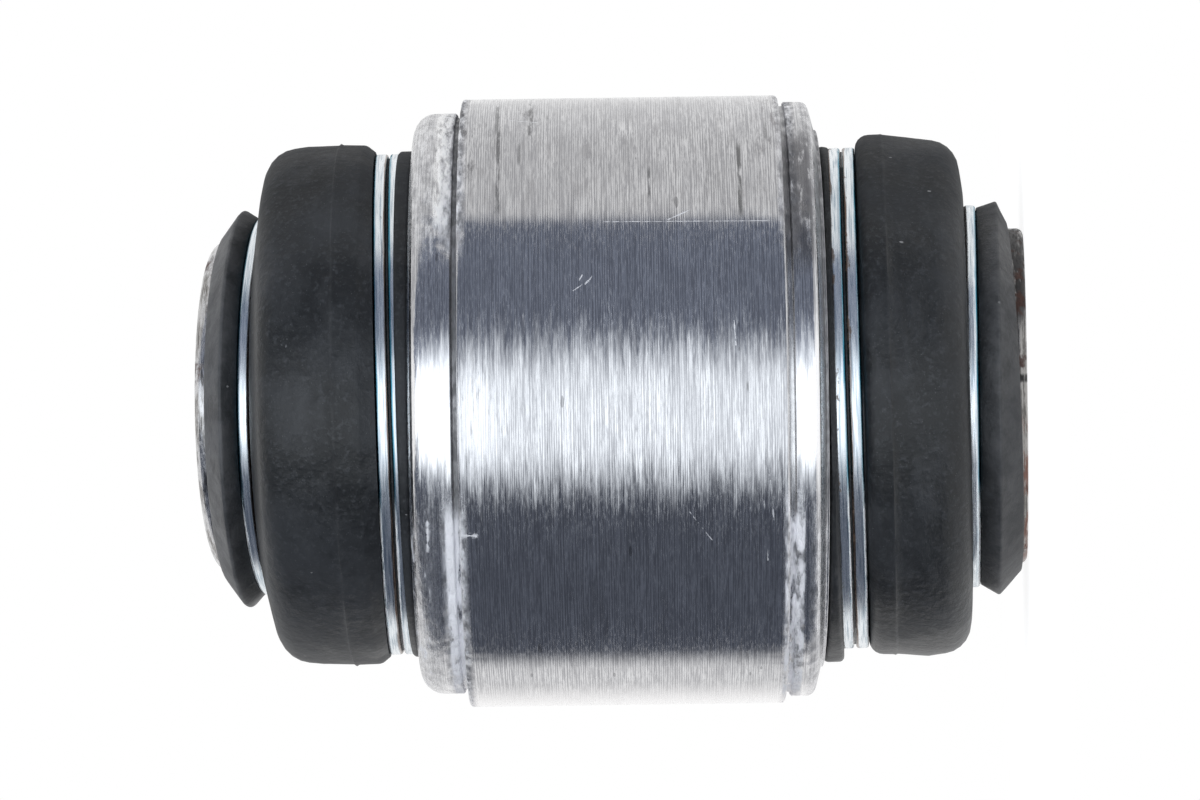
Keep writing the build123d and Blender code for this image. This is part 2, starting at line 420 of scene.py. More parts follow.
@dataclass(frozen=True)
class Roughening:
    """How worn places are eaten away.

    Attributes:
        depth: Deepest bite in millimetres.
        scale: Size of the bites, as noise waves per metre.
        threshold: Share of the noise that leaves the surface alone.
        calm: How far round from the front, as a cosine, the surface keeps its shape; below 0 for nowhere.
    """

    depth: float
    scale: float
    threshold: float
    calm: float = -1.0


class Lathe:
    """A Geometry Nodes tree that carries an outline round its axis, ring by ring, and roughens worn places.

    Attributes:
        KEPT: The outline's numbers that stay on the mesh for the finishes to read.
        CALM_FADE: How much further round, as a cosine, the roughening takes to reach its depth.
        BACK: Where the back's sunken part begins and is full, as the sine of the turn.
    """

    NAME = "Lathe"
    KEPT = ("wear", "grime")
    MERGE_WITHIN = 1e-7
    BITE_DETAIL = 5.0
    BITE_ROUGHNESS = 0.62
    CALM_FADE = 0.3
    BACK = (0.3, 0.6)

    def __init__(self) -> None:
        """Builds the tree once."""
        self.tree = bpy.data.node_groups.new(self.NAME, "GeometryNodeTree")
        inputs = {
            "Outline": "Geometry",
            "Segments": 96,
            "Wear Depth": 0.0,
            "Wear Scale": 600.0,
            "Wear Threshold": 0.5,
            "Calm Front": 0.0,
            "Seed": FIXED_SEED,
            "Material": "Material",
        }
        self.sockets = declare(self.tree, inputs, ("Turned",), "Geometry")
        self._build()

    def _build(self) -> None:
        """Lays the nodes: a grid whose rows are rings, each ring worn and then turned as it is held."""
        wire = Wiring(self.tree)
        given = wire.values("NodeGroupInput")
        segments = given["Segments"]
        count = wire.value("GeometryNodeAttributeDomainSize", "Point Count", Geometry=given["Outline"])
        columns = count + 1
        flow = wire.value("GeometryNodeMeshGrid", "Mesh", Vertices_X=segments + 1, Vertices_Y=columns)
        index = wire.value("GeometryNodeInputIndex")
        ring = wire.maths("FLOOR", (index + 0.5) / columns)
        source = wire.maths("FLOORED_MODULO", index - ring * columns, count)
        turn = ring / segments * FULL_TURN
        sine, cosine = wire.maths("SINE", turn), wire.maths("COSINE", turn)

        def sampled(kind: str, value: Value) -> Value:
            """Returns a field of the outline at the point that this one comes from."""
            fields = {"Geometry": given["Outline"], "Value": value, "Index": source}
            return wire.value("GeometryNodeSampleIndex", 0, {"data_type": kind}, **fields)

        def named(name: str) -> Value:
            """Returns one of the outline's named numbers."""
            number = ("GeometryNodeInputNamedAttribute", "Attribute", {"data_type": "FLOAT"})
            return sampled("FLOAT", wire.value(*number, Name=name))

        def turned(value: Value, axis: str, angle: Value) -> Value:
            """Returns a vector turned about X or Y."""
            return wire.value("VectorRotate", 0, {"rotation_type": f"{axis}_AXIS"}, Vector=value, Angle=angle)

        def joined(x: Any = None, y: Any = None, z: Any = None) -> Value:
            """Returns a vector made of its parts."""
            return wire.value("CombineXYZ", X=x, Y=y, Z=z)

        radius, _, height = sampled("FLOAT_VECTOR", wire.value("GeometryNodeInputPosition")).axes()
        noise = {"Scale": given["Wear Scale"], "Detail": self.BITE_DETAIL, "Roughness": self.BITE_ROUGHNESS}
        place = joined(radius * cosine, radius * sine, height)
        solid = {"noise_dimensions": "4D"}
        eaten = wire.value("TexNoise", "Fac", solid, Vector=place, W=given["Seed"], **noise)
        calm = abs(cosine).ramp(given["Calm Front"], given["Calm Front"] + self.CALM_FADE)
        kept = {key: named(key) for key in self.KEPT}
        bite = (eaten - given["Wear Threshold"]).at_least(0.0) * given["Wear Depth"] * kept["wear"] * calm
        worn = radius - (bite + sine.ramp(*self.BACK) * named("dip"))
        plane = turned(turned(joined(worn * cosine, worn * sine), "Y", named("lean")), "X", named("tilt"))
        place = wire.vectors("ADD", plane, turned(joined(named("shift"), z=height), "X", named("swing")))
        for key, value in kept.items():
            kept_as = {"data_type": "FLOAT", "domain": "POINT"}
            given_to = {"Name": key, "Geometry": flow, "Value": value}
            flow = wire.value("GeometryNodeStoreNamedAttribute", 0, kept_as, **given_to)
        flow = wire.value("GeometryNodeSetPosition", Geometry=flow, Position=place)
        flow = wire.value("GeometryNodeMergeByDistance", Geometry=flow, Distance=self.MERGE_WITHIN)
        flow = wire.value("GeometryNodeRealizeInstances", Geometry=flow)
        flow = wire.value("GeometryNodeSetMaterial", Geometry=flow, Material=given["Material"])
        wire.put(wire.add("NodeGroupOutput").inputs[0], flow)

    def turn(
        self, name: str, outline: Outline, segments: int, roughening: Roughening, material: Any
    ) -> bpy.types.Object:
        """Turns one outline into a plain mesh.

        Args:
            name: The piece's name.
            outline: The piece's outline.
            segments: Steps round the axis.
            roughening: How worn places are eaten away.
            material: The piece's material.

        Returns:
            The finished object, at the origin and with no modifier.
        """
        stations = outline.stations()
        mesh = bpy.data.meshes.new(f"{name}_outline")
        mesh.from_pydata([(s.r * MM, 0.0, s.z * MM) for s in stations], [], [])
        turns = ("swing", "tilt", "lean")
        numbers = {key: [math.radians(getattr(s.hold, key)) for s in stations] for key in turns}
        numbers["shift"] = [s.hold.shift * MM for s in stations]
        numbers["dip"] = [s.dip * MM for s in stations]
        numbers |= {key: [getattr(s, key) for s in stations] for key in self.KEPT}
        for key, values in numbers.items():
            mesh.attributes.new(key, "FLOAT", "POINT").data.foreach_set("value", values)
        carrier = show(f"{name}_carrier", mesh)
        modifier = carrier.modifiers.new(self.NAME, "NODES")
        modifier.node_group = self.tree
        modifier[self.sockets["Segments"]] = segments
        modifier[self.sockets["Wear Depth"]] = roughening.depth * MM
        modifier[self.sockets["Wear Scale"]] = roughening.scale
        modifier[self.sockets["Wear Threshold"]] = roughening.threshold
        modifier[self.sockets["Calm Front"]] = roughening.calm
        modifier[self.sockets["Material"]] = material
        bpy.context.view_layer.update()
        ready = carrier.evaluated_get(bpy.context.evaluated_depsgraph_get())
        result = bpy.data.meshes.new_from_object(ready)
        bpy.data.objects.remove(carrier)
        return finished(name, result)


def finished(name: str, mesh: bpy.types.Mesh) -> bpy.types.Object:
    """Turns a closed mesh's faces outwards, smooths them and links it.

    Args:
        name: The object's name.
        mesh: The closed mesh, in place.

    Returns:
        The object, at the origin.
    """
    work = bmesh.new()
    work.from_mesh(mesh)
    bmesh.ops.recalc_face_normals(work, faces=work.faces)
    work.to_mesh(mesh)
    work.free()
    mesh.shade_smooth()
    mesh.set_sharp_from_angle(angle=math.radians(SHARP_FROM_DEGREES))
    return show(name, mesh)


# Shader node groups and finishes


class Effects:
    """The shader node groups that several finishes share.

    Attributes:
        BAND_SCALE: Bands, as noise waves per metre.
        BAND_DRIFT: How far the bands push the feed marks, in radians.
        FEED_DEPTH: Strength of the feed marks beside the fine rings.
        REACHES: For streaks and dashes, how much the group's reach and its lines are multiplied.
        BREAKS: Breaks in a scratch, as noise waves per metre.
        SPECK_SIZE: Largest speck, as a share of its cell.
    """

    BAND_SCALE = 500.0
    BAND_DRIFT = 9.0
    FEED_DEPTH = 0.16
    REACHES = {"Streaks": (1.0, 1.3), "Dashes": (4.0, 2.2)}
    BREAKS = 2600.0
    SPECK_SIZE = 0.35

    def __init__(self) -> None:
        """Builds each group once."""
        self.turning = self._turning()
        self.scratch = self._scratch()
        self.specks = self._specks()
        self.patches = self._patches()

    @staticmethod
    def _start(name: str, inputs: dict[str, Any], outputs: Iterable[str]) -> tuple[Any, Wiring, Any, Any]:
        """Starts a group that takes a vector.

        Args:
            name: The group's name.
            inputs: Its other inputs, as declare() takes them.
            outputs: Names of the numbers it gives.

        Returns:
            The group, its wiring, its inputs by name and the sockets of its output node.
        """
        group = bpy.data.node_groups.new(name, "ShaderNodeTree")
        declare(group, {"Vector": "Vector"} | inputs, outputs)
        wire = Wiring(group)
        return group, wire, wire.values("NodeGroupInput"), wire.add("NodeGroupOutput").inputs

    def _turning(self) -> Any:
        """Marks left by a turning tool: fine full rings with the tool's pitch, streaks that run part of the
        way round, short dashes, and broader bands."""
        inputs = {"Lines": 6000.0, "Pitch": 0.000165, "Streak Reach": 420.0}
        outputs = ("Lines", "Streaks", "Dashes", "Bands")
        group, wire, given, out = self._start("Turning marks", inputs, outputs)
        height = given["Vector"].axes()[2]
        rings = {"noise_dimensions": "1D"}
        fine = wire.value("TexNoise", "Fac", rings, W=height, Scale=given["Lines"], Detail=1.0)
        bands = wire.value("TexNoise", "Fac", rings, W=height, Scale=self.BAND_SCALE, Detail=2.0)
        feed = wire.maths("SINE", height / given["Pitch"] * FULL_TURN + bands * self.BAND_DRIFT)
        wire.put(out["Bands"], bands)
        wire.put(out["Lines"], fine + feed * self.FEED_DEPTH)
        for key, (across, along) in self.REACHES.items():
            reach = given["Streak Reach"] * across
            scale = wire.value("CombineXYZ", X=reach, Y=reach, Z=given["Lines"] * along)
            spread = wire.vectors("MULTIPLY", given["Vector"], scale)
            wire.put(out[key], wire.noise(spread, scale=1.0, detail=3.0, roughness=0.6))
        return group

    def _scratch(self) -> Any:
        """A thin line between two points, broken a little along its length."""
        inputs = {"Start": "Vector", "End": "Vector", "Width": 0.0001}
        group, wire, given, out = self._start("Scratch", inputs, ("Mask",))
        reach = wire.vectors("SUBTRACT", given["Vector"], given["Start"])
        run = wire.vectors("SUBTRACT", given["End"], given["Start"])
        products = (wire.vectors("DOT_PRODUCT", reach, run), wire.vectors("DOT_PRODUCT", run, run))
        along = wire.maths("DIVIDE", *products, clamp=True)
        nearest = wire.vectors("SCALE", run, None, None, along)
        away = wire.vectors("LENGTH", wire.vectors("SUBTRACT", reach, nearest))
        broken = wire.noise(given["Vector"], scale=self.BREAKS, detail=2.0).ramp(0.35, 0.6, 0.25, 1.3)
        wire.put(out["Mask"], wire.maths("SUBTRACT", 1.0, away / (given["Width"] * broken), clamp=True))
        return group

    def _specks(self) -> Any:
        """Small scattered dots of dust or grit."""
        group, wire, given, out = self._start("Specks", {"Scale": 900.0, "Cover": 0.2}, ("Mask",))
        cells = wire.values("TexVoronoi", Vector=given["Vector"], Scale=given["Scale"])
        lot = wire.values("SeparateColor", Color=cells["Color"])
        chosen = wire.maths("LESS_THAN", lot["Red"], given["Cover"])
        dot = wire.maths("LESS_THAN", cells["Distance"], lot["Green"] * self.SPECK_SIZE)
        wire.put(out["Mask"], chosen * dot)
        return group

    def _patches(self) -> Any:
        """Soft-edged uneven patches, such as grime, scuffs or rust."""
        inputs = {"Scale": 80.0, "Start": 0.5, "Full": 0.62}
        group, wire, given, out = self._start("Patches", inputs, ("Mask",))
        over = wire.noise(given["Vector"], given["Scale"], detail=7.0, roughness=0.65) - given["Start"]
        wire.put(out["Mask"], wire.maths("DIVIDE", over, given["Full"] - given["Start"], clamp=True))
        return group


@dataclass(frozen=True)
class Scratch:
    """A straight scratch: its two ends in the piece's own turned frame and its width, in millimetres."""

    start: tuple[float, float, float]
    end: tuple[float, float, float]
    width: float = 0.08


@dataclass(frozen=True)
class Scuff:
    """A patch placed in the piece's turned frame: a scraped bright or dirty place, or a painted highlight,
    shade or reflection.

    Attributes:
        z: Its reach along Z, in millimetres.
        x: Its reach along X, in millimetres.
        colour: What it shows.
        amount: How strong it is, from 0 to 1.
        soft_z: Half the width of its upper and lower edges, in millimetres.
        soft_x: Half the width of its side edges, in millimetres.
        fill: How much of it is covered: 0 for a few strokes, 1 for nearly all.
        matte: How much of the metal's shine it takes.
    """

    z: tuple[float, float]
    x: tuple[float, float]
    colour: Colour
    amount: float = 1.0
    soft_z: float = 0.25
    soft_x: float = 1.0
    fill: float = 0.5
    matte: float = 1.0


class Coat(Wiring):
    """A material being painted, coat over coat, in the turned frame of the piece that it covers."""

    def __init__(self, name: str, effects: Effects, ground: Any, tilt: float = 0, lean: float = 0) -> None:
        """Starts the material.

        Args:
            name: The material's name.
            effects: The shared shader node groups.
            ground: The first colour.
            tilt: Turn of the piece's axis about X, in degrees.
            lean: Turn of the piece's axis about Y, in degrees.
        """
        self.material = bpy.data.materials.new(name)
        self.material.use_nodes = True
        super().__init__(self.material.node_tree)
        self.effects = effects
        self.colour = ground
        turn = (-math.radians(tilt), -math.radians(lean), 0.0)
        self.place = self.value("Mapping", Vector=self.value("TexCoord", "Object"), Rotation=turn)
        self.across, _, self.along = self.place.axes()

    def worn(self, name: str) -> Value:
        """Returns one of the numbers that the lathe keeps on the mesh."""
        return self.value("Attribute", "Fac", {"attribute_name": name})

    def turning(self, **inputs: Any) -> dict[str, Value]:
        """Adds the turning marks and returns them by name."""
        return self.values("Group", {"node_tree": self.effects.turning}, Vector=self.place, **inputs)

    def masked(self, tree: Any, along: float, across: float, **inputs: Any) -> Value:
        """Returns a shared group's mask, the group's noise stretched along Z and across it."""
        place = self.place.stretched(along, across)
        return self.value("Group", "Mask", {"node_tree": tree}, Vector=place, **inputs)

    def patches(self, scale: float, start: float, full: float, along: float = 1, across: float = 1) -> Value:
        """Returns a mask of patches that begin and are full where the noise passes the two levels."""
        return self.masked(self.effects.patches, along, across, Scale=scale, Start=start, Full=full)

    def specks(self, scale: float, cover: float, along: float = 1, across: float = 1) -> Value:
        """Returns a mask of dots that cover a share of the noise's cells."""
        return self.masked(self.effects.specks, along, across, Scale=scale, Cover=cover)

    def scratched(self, scratches: Iterable[Scratch]) -> Value:
        """Returns the mask of all the scratches together.

        Args:
            scratches: The scratches, at least one.

        Returns:
            The mask, 1 along the middle of each scratch.
        """
        masks = []
        for scratch in scratches:
            start, end = (tuple(value * MM for value in place) for place in (scratch.start, scratch.end))
            shape = {"Start": start, "End": end, "Width": scratch.width * MM}
            masks.append(self.masked(self.effects.scratch, 1.0, 1.0, **shape))
        return functools.reduce(Value.at_least, masks)

    def lay(self, mask: Value, colour: Any, share: float = 1.0) -> None:
        """Lays a colour over the coats so far, where the mask says."""
        self.colour = self.blend(mask * share, self.colour, colour)

    def done(self, **inputs: Any) -> Any:
        """Sets the shader's inputs, with spaces as underscores, and returns the material."""
        sockets = self.nodes["Principled BSDF"].inputs
        for key, value in {"Base_Color": self.colour, **inputs}.items():
            self.put(sockets[key.replace("_", " ")], value)
        return self.material


@dataclass(frozen=True)
class TurnedSteel:
    """Bare steel with turning marks, scraped and dirty places, scratches and rust, and whatever painted
    highlights, shade and reflections its patches hold.

    Attributes:
        RIGHT_FLANK: Where X passes onto the scraped flank at +X, in metres.
        LEFT_FLANK: The same at -X.
        CLEAN_SIDE: Where dirt in the grooves begins, from -X.
        COMBED_FRONT: Where the reflections stop being swung, out from the middle.
        BAND_EDGE: Width over which the band's relief fades, in metres.
        BUMP_HEIGHT: Height of a full mark, in metres.
        SCUFF_SCALE: Broken places in a patch, as noise waves per metre.
        SCUFF_EMPTY: Noise level at which a patch without fill would begin.
        SCUFF_FILLING: How much a full one lowers it.
        SCUFF_FADE: Noise levels from the beginning of a broken place to its full strength.
        name: The material's name.
        tilt: Turn of the piece's axis about X, in degrees.
        bright: Colour of the marks that catch the light.
        dull: Colour between them; the other colours are those of the coats laid over the two.
        roughness: Roughness of the smoothest places.
        line_roughness: What the dashes add to it.
        lines: Turning marks per metre.
        relief: Height of the marks on the band.
        plain_relief: Height of the marks elsewhere.
        comb: How far the marks swing the reflections round the axis.
        band: Middle and half-length of the band, in millimetres.
        grime: Strength of the smudges on the flanks.
        scratches: Its scratches.
        scuffs: Its scraped and dirty patches and its painted highlights, shade and reflections, from the
            lowest coat to the highest.
        rust_from: Noise level at which rust begins.
        rust_full: Noise level at which rust is full.
    """

    RIGHT_FLANK = (0.0085, 0.0135)
    LEFT_FLANK = (-0.0055, -0.0095)
    CLEAN_SIDE = (-0.009, -0.006)
    COMBED_FRONT = (0.0085, 0.0115)
    BAND_EDGE = 0.0002
    BUMP_HEIGHT = 0.00009
    SCUFF_SCALE = 420.0
    SCUFF_EMPTY = 0.66
    SCUFF_FILLING = 0.32
    SCUFF_FADE = 0.12

    name: str
    tilt: float = 0.0
    bright: Colour = (0.7, 0.7, 0.71)
    dull: Colour = (0.35, 0.35, 0.365)
    smudged: Colour = (0.15, 0.145, 0.15)
    fleck: Colour = (0.1, 0.1, 0.105)
    torn: Colour = (0.93, 0.93, 0.95)
    torn_shade: Colour = (0.27, 0.27, 0.285)
    cut: Colour = (0.92, 0.92, 0.94)
    settled: Colour = (0.13, 0.13, 0.135)
    rusty: Colour = (0.1, 0.056, 0.045)
    roughness: float = 0.09
    line_roughness: float = 0.2
    lines: float = 8500.0
    relief: float = 0.1
    plain_relief: float = 0.06
    comb: float = 0.3
    band: tuple[float, float] = (0.0, 0.0)
    grime: float = 0.5
    scratches: tuple[Scratch, ...] = ()
    scuffs: tuple[Scuff, ...] = ()
    rust_from: float = 1.0
    rust_full: float = 1.1

    def material(self, effects: Effects) -> Any:
        """Builds the material.

        Args:
            effects: The shared shader node groups.

        Returns:
            The material.
        """
        coat = Coat(self.name, effects, self.dull, self.tilt)
        marks = coat.turning(Lines=self.lines)
        lines, dashes, bands = marks["Lines"], marks["Dashes"], marks["Bands"]
        hairs = marks["Streaks"] * 0.45 + dashes * 0.3 + lines * 0.25
        coat.lay(hairs.ramp(0.43, 0.57), self.bright)
        flank = coat.across.ramp(*self.RIGHT_FLANK) + coat.across.ramp(*self.LEFT_FLANK)
        dirt = coat.patches(scale=150.0, start=0.56, full=0.78, along=5.0, across=0.7) * flank * self.grime
        coat.lay(dirt, self.smudged)
        cloud = coat.patches(scale=90.0, start=0.36, full=0.66, across=0.6)
        coat.lay(cloud, self.dull, share=0.3)
        # Duller rubbed patches of the steel itself.
        rubbed = coat.patches(scale=330.0, start=0.44, full=0.64, along=2.4, across=0.6)
        coat.lay(rubbed, self.dull, share=0.4)
        coat.lay(coat.specks(scale=1900.0, cover=0.03, across=0.3), self.fleck, share=0.5)
        scraped = coat.worn("wear") * flank
        mottle = coat.patches(scale=900.0, start=0.4, full=0.6, along=2.2)
        coat.lay(scraped, coat.blend(mottle, self.torn_shade, self.torn))
        matte = scraped * 0.35
        for scuff in self.scuffs:
            mask = self._scuffed(coat, scuff)
            coat.lay(mask, scuff.colour)
            matte = matte.at_least(mask * scuff.matte)
        if self.scratches:
            cut = coat.scratched(self.scratches)
            coat.lay(cut, self.cut)
            matte = matte.at_least(cut)
        settled = coat.worn("grime") * coat.across.ramp(*self.CLEAN_SIDE, 0.0, 0.9)
        settled = settled * mottle.ramp(0.0, 1.0, 1.0, 0.6)
        coat.lay(settled, self.settled)
        rust = coat.patches(scale=420.0, start=self.rust_from, full=self.rust_full)
        coat.lay(rust, self.rusty)
        covered = (matte * 0.85).at_least(settled * 0.8).at_least(rust)
        rough = dashes.ramp(0.5, 0.64) * self.line_roughness
        rough = rough + bands.ramp(0.45, 0.7, self.roughness, self.roughness + 0.03)
        for mask, share in ((scraped, 0.3), (matte, 0.3), (dirt, 0.25), (rust, 0.4), (settled, 0.4)):
            rough = rough + mask * share
        middle, half = (value * MM for value in self.band)
        relief = abs(coat.along - middle).ramp(half - self.BAND_EDGE, half, self.relief, self.plain_relief)
        height = (lines + dashes * 0.3) * relief + bands * 0.2 + mottle * scraped * 0.5
        bump = {"Strength": 1.0, "Distance": self.BUMP_HEIGHT, "Height": height, "Normal": self._combed(coat)}
        normal = coat.value("Bump", **bump)
        return coat.done(Metallic=1.0 - covered, Roughness=rough, Normal=normal)

    def _combed(self, coat: Coat) -> Value:
        """Swings the normal a little round the axis, unevenly from one turning mark to the next.

        Args:
            coat: The material being painted.

        Returns:
            The swung normal.
        """
        coarse = coat.turning(Lines=self.lines * 0.35, Streak_Reach=300.0)["Streaks"]
        swing = (coarse - 0.5) * self.comb * abs(coat.across).ramp(*self.COMBED_FRONT, 1.0, 0.0)
        tilt = math.radians(self.tilt)
        spaces = {"vector_type": "VECTOR", "convert_from": "OBJECT", "convert_to": "WORLD"}
        axis = coat.value("VectorTransform", 0, spaces, Vector=(0.0, -math.sin(tilt), math.cos(tilt)))
        normal = coat.value("NewGeometry", "Normal")
        return coat.vectors("MULTIPLY_ADD", coat.vectors("CROSS_PRODUCT", axis, normal), swing, normal)

    def _scuffed(self, coat: Coat, scuff: Scuff) -> Value:
        """Makes the mask of one patch: a soft window broken up along the turning direction.

        Args:
            coat: The material being painted.
            scuff: The patch.

        Returns:
            The mask.
        """
        start = self.SCUFF_EMPTY - self.SCUFF_FILLING * scuff.fill
        broken = coat.patches(self.SCUFF_SCALE, start, start + self.SCUFF_FADE, along=5.0)
        mask = broken * scuff.amount
        windows = ((coat.along, scuff.z, scuff.soft_z), (coat.across, scuff.x, scuff.soft_x))
        for value, (low, high), soft in windows:
            mask = mask * value.ramp((low - soft) * MM, (low + soft) * MM)
            mask = mask * value.ramp((high - soft) * MM, (high + soft) * MM, 1.0, 0.0)
        return mask


@dataclass(frozen=True)
class DustyRubber:
    """Matte black rubber with a film of dust and small scuffs.

    Attributes:
        CHALKY_SIDE: Where X passes onto the chalky flank at +X, in metres.
        FILM_ROUGHNESS: What the film adds to the roughness.
        BUMP_HEIGHT: Height of the grain, in metres.
        chalk: What the chalky flank adds to the roughness.
    """

    CHALKY_SIDE = (0.0085, 0.0165)
    FILM_ROUGHNESS = 0.14
    BUMP_HEIGHT = 0.0001

    name: str
    black: Colour = (0.0085, 0.0098, 0.0112)
    dusty: Colour = (0.04, 0.043, 0.048)
    dot: Colour = (0.12, 0.125, 0.13)
    lint: Colour = (0.35, 0.35, 0.35)
    settled: Colour = (0.105, 0.106, 0.11)
    scraped: Colour = (0.3, 0.31, 0.33)
    roughness: float = 0.4
    chalk: float = 0.3
    tilt: float = 0.0
    scratches: tuple[Scratch, ...] = ()

    def material(self, effects: Effects) -> Any:
        """Builds the material.

        Args:
            effects: The shared shader node groups.

        Returns:
            The material.
        """
        coat = Coat(self.name, effects, self.black, self.tilt)
        film = coat.patches(scale=110.0, start=0.44, full=0.62)
        coat.lay(film, self.dusty, share=0.55)
        smear = coat.patches(scale=380.0, start=0.5, full=0.74, across=0.5)
        coat.lay(smear, self.dusty, share=0.75)
        grain = coat.noise(coat.place, scale=2400.0, detail=5.0, roughness=0.62)
        coat.lay(grain.ramp(0.5, 0.72, 0.0, 0.75), self.dusty)
        coat.lay(coat.specks(scale=7000.0, cover=0.1, along=1.6), self.dot, share=0.4)
        coat.lay(coat.specks(scale=2300.0, cover=0.004, along=0.8, across=1.5), self.lint, share=0.7)
        uneven = coat.patches(scale=500.0, start=0.36, full=0.62).ramp(0.0, 1.0, 0.35, 1.0)
        coat.lay(coat.worn("grime") * uneven, self.settled)
        if self.scratches:
            coat.lay(coat.scratched(self.scratches), self.scraped, share=0.8)
        rough = film.ramp(0.0, 1.0, self.roughness, self.roughness + self.FILM_ROUGHNESS)
        rough = rough + coat.across.ramp(*self.CHALKY_SIDE) * self.chalk
        swell = coat.noise(coat.place, scale=210.0, detail=3.0)
        height = grain + swell * 5.0 + smear * 0.8
        normal = coat.value("Bump", Strength=0.6, Distance=self.BUMP_HEIGHT, Height=height)
        return coat.done(Specular_IOR_Level=0.42, Roughness=rough, Normal=normal)


@dataclass(frozen=True)
class PlatedWire:
    """Bright zinc plating with brown specks, and painted reflections: teal along the wire's outer edge, brown
    along its inner one, and a pale highlight strip at -X.

    Attributes:
        UNEVEN: How far the streaks push the coloured edges about, in metres.
        TEAL_EDGE: Where the painted teal reflection begins and is full, in half widths out from the wire's
            middle.
        BROWN_EDGE: The same for the painted brown reflection.
        RUBBED_EDGE: The same for the painted highlight strip.
        SPOTTED_EDGE: The same for the extra specks.
        RUBBED_SIDE: Where X passes onto the painted highlight at -X, in metres.
        SPOT_FADE: Noise levels from the beginning of a speck to its full strength.
        BUMP_HEIGHT: Height of a full streak, in metres.
        name: The material's name.
        side: The end of the bush that the wire is on.
        middle: Height of the wire's turns along their own axis, in millimetres.
        apart: Half the distance between the two turns, or 0 for a single turn.
        half: Half the wire's width.
    """

    UNEVEN = 0.0004
    TEAL_EDGE = (0.45, 0.8)
    BROWN_EDGE = (-0.5, -0.85)
    RUBBED_EDGE = (0.5, 0.75)
    SPOTTED_EDGE = (0.3, -0.8)
    RUBBED_SIDE = (-0.0055, -0.0085)
    SPOT_FADE = 0.06
    BUMP_HEIGHT = 0.00004

    name: str
    side: Side
    middle: float
    apart: float
    half: float = 0.46
    tilt: float = 0.0
    lean: float = 0.0
    bright: Colour = (0.80, 0.84, 0.87)
    dull: Colour = (0.40, 0.47, 0.53)
    # Colours of the painted reflections along the wire's edges.
    teal: Colour = (0.05, 0.24, 0.34)
    brown: Colour = (0.16, 0.11, 0.085)
    # The pale colour of the painted highlight strip along the outer edge.
    rubbed: Colour = (0.95, 0.96, 0.97)
    spot: Colour = (0.13, 0.085, 0.06)
    roughness: float = 0.2
    spots_from: float = 0.66
    spots_on_edge: float = 0.12

    def material(self, effects: Effects) -> Any:
        """Builds the material.

        Args:
            effects: The shared shader node groups.

        Returns:
            The material.
        """
        coat = Coat(self.name, effects, self.dull, self.tilt, self.lean)
        marks = coat.turning(Lines=5000.0, Streak_Reach=220.0)
        streaks, dashes = marks["Streaks"], marks["Dashes"]
        coat.lay(streaks.ramp(0.34, 0.56), self.bright)
        outward = coat.along * float(self.side.value) - self.middle * MM
        outward = outward - coat.maths("SIGN", outward) * (self.apart * MM) + (streaks - 0.5) * self.UNEVEN
        outward = outward / (self.half * MM)
        # Painted reflections: a teal fringe along the outer edge and a brown one along the inner edge.
        coat.lay(outward.ramp(*self.TEAL_EDGE), self.teal)
        coat.lay(outward.ramp(*self.BROWN_EDGE), self.brown)
        # Painted highlight: a pale, less metallic strip along the outer edge on the -X side, where the
        # rounded edge catches the light.
        rubbed = coat.across.ramp(*self.RUBBED_SIDE) * outward.ramp(*self.RUBBED_EDGE)
        rubbed = rubbed * dashes.ramp(0.3, 0.5, 0.3, 1.0)
        coat.lay(rubbed, self.rubbed)
        spots = coat.noise(coat.place.stretched(1.6, 0.7), scale=620.0, detail=7.0, roughness=0.65)
        spots = spots + outward.ramp(*self.SPOTTED_EDGE) * self.spots_on_edge
        spotted = spots.ramp(self.spots_from, self.spots_from + self.SPOT_FADE)
        coat.lay(spotted, self.spot, share=0.85)
        bare = (spotted * 0.7).at_least(rubbed * 0.8)
        rough = dashes.ramp(0.3, 0.7, self.roughness, self.roughness + 0.12)
        normal = coat.value("Bump", Strength=0.5, Distance=self.BUMP_HEIGHT, Height=streaks)
        return coat.done(Metallic=1.0 - bare, Roughness=rough, Normal=normal)


@dataclass(frozen=True)
class GreasedPlastic:
    """Smooth off-white bearing plastic with smears of grease."""

    name: str
    pale: Colour = (0.72, 0.69, 0.60)
    greased: Colour = (0.42, 0.36, 0.24)

    def material(self, effects: Effects) -> Any:
        """Builds the material.

        Args:
            effects: The shared shader node groups.

        Returns:
            The material.
        """
        coat = Coat(self.name, effects, self.pale)
        smear = coat.patches(scale=140.0, start=0.45, full=0.7)
        coat.lay(smear, self.greased)
        return coat.done(Roughness=smear.ramp(0.0, 1.0, 0.42, 0.2))


# Sub-assemblies


@dataclass
class Frame:
    """What the sub-assemblies share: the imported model, the shader node groups and the lathe."""

    data: dict[str, Any]
    effects: Effects
    lathe: Lathe

    def __post_init__(self) -> None:
        """Reads the housing's place from its press-fit mount."""
        mount = next(m for m in self.data["record"]["mounts"] if m["name"] == "housing_od")
        self.swivel = math.degrees(math.atan2(-mount["axis"][1], mount["axis"][2]))
        self.band_offset = mount["pos_m"][2] / mount["axis"][2] / MM
        self.band_r = mount["dims"]["r_mm"]
        self.band_half = mount["dims"]["length_mm"] / 2

    def dress(self, node: str, material: Any) -> None:
        """Gives a CAD node its material.

        Args:
            node: The node's name.
            material: The material to show.
        """
        obj = self.data["nodes"][node]
        obj.data.materials.clear()
        obj.data.materials.append(material)
        LOG.info("dressed %s with %s", node, material.name)


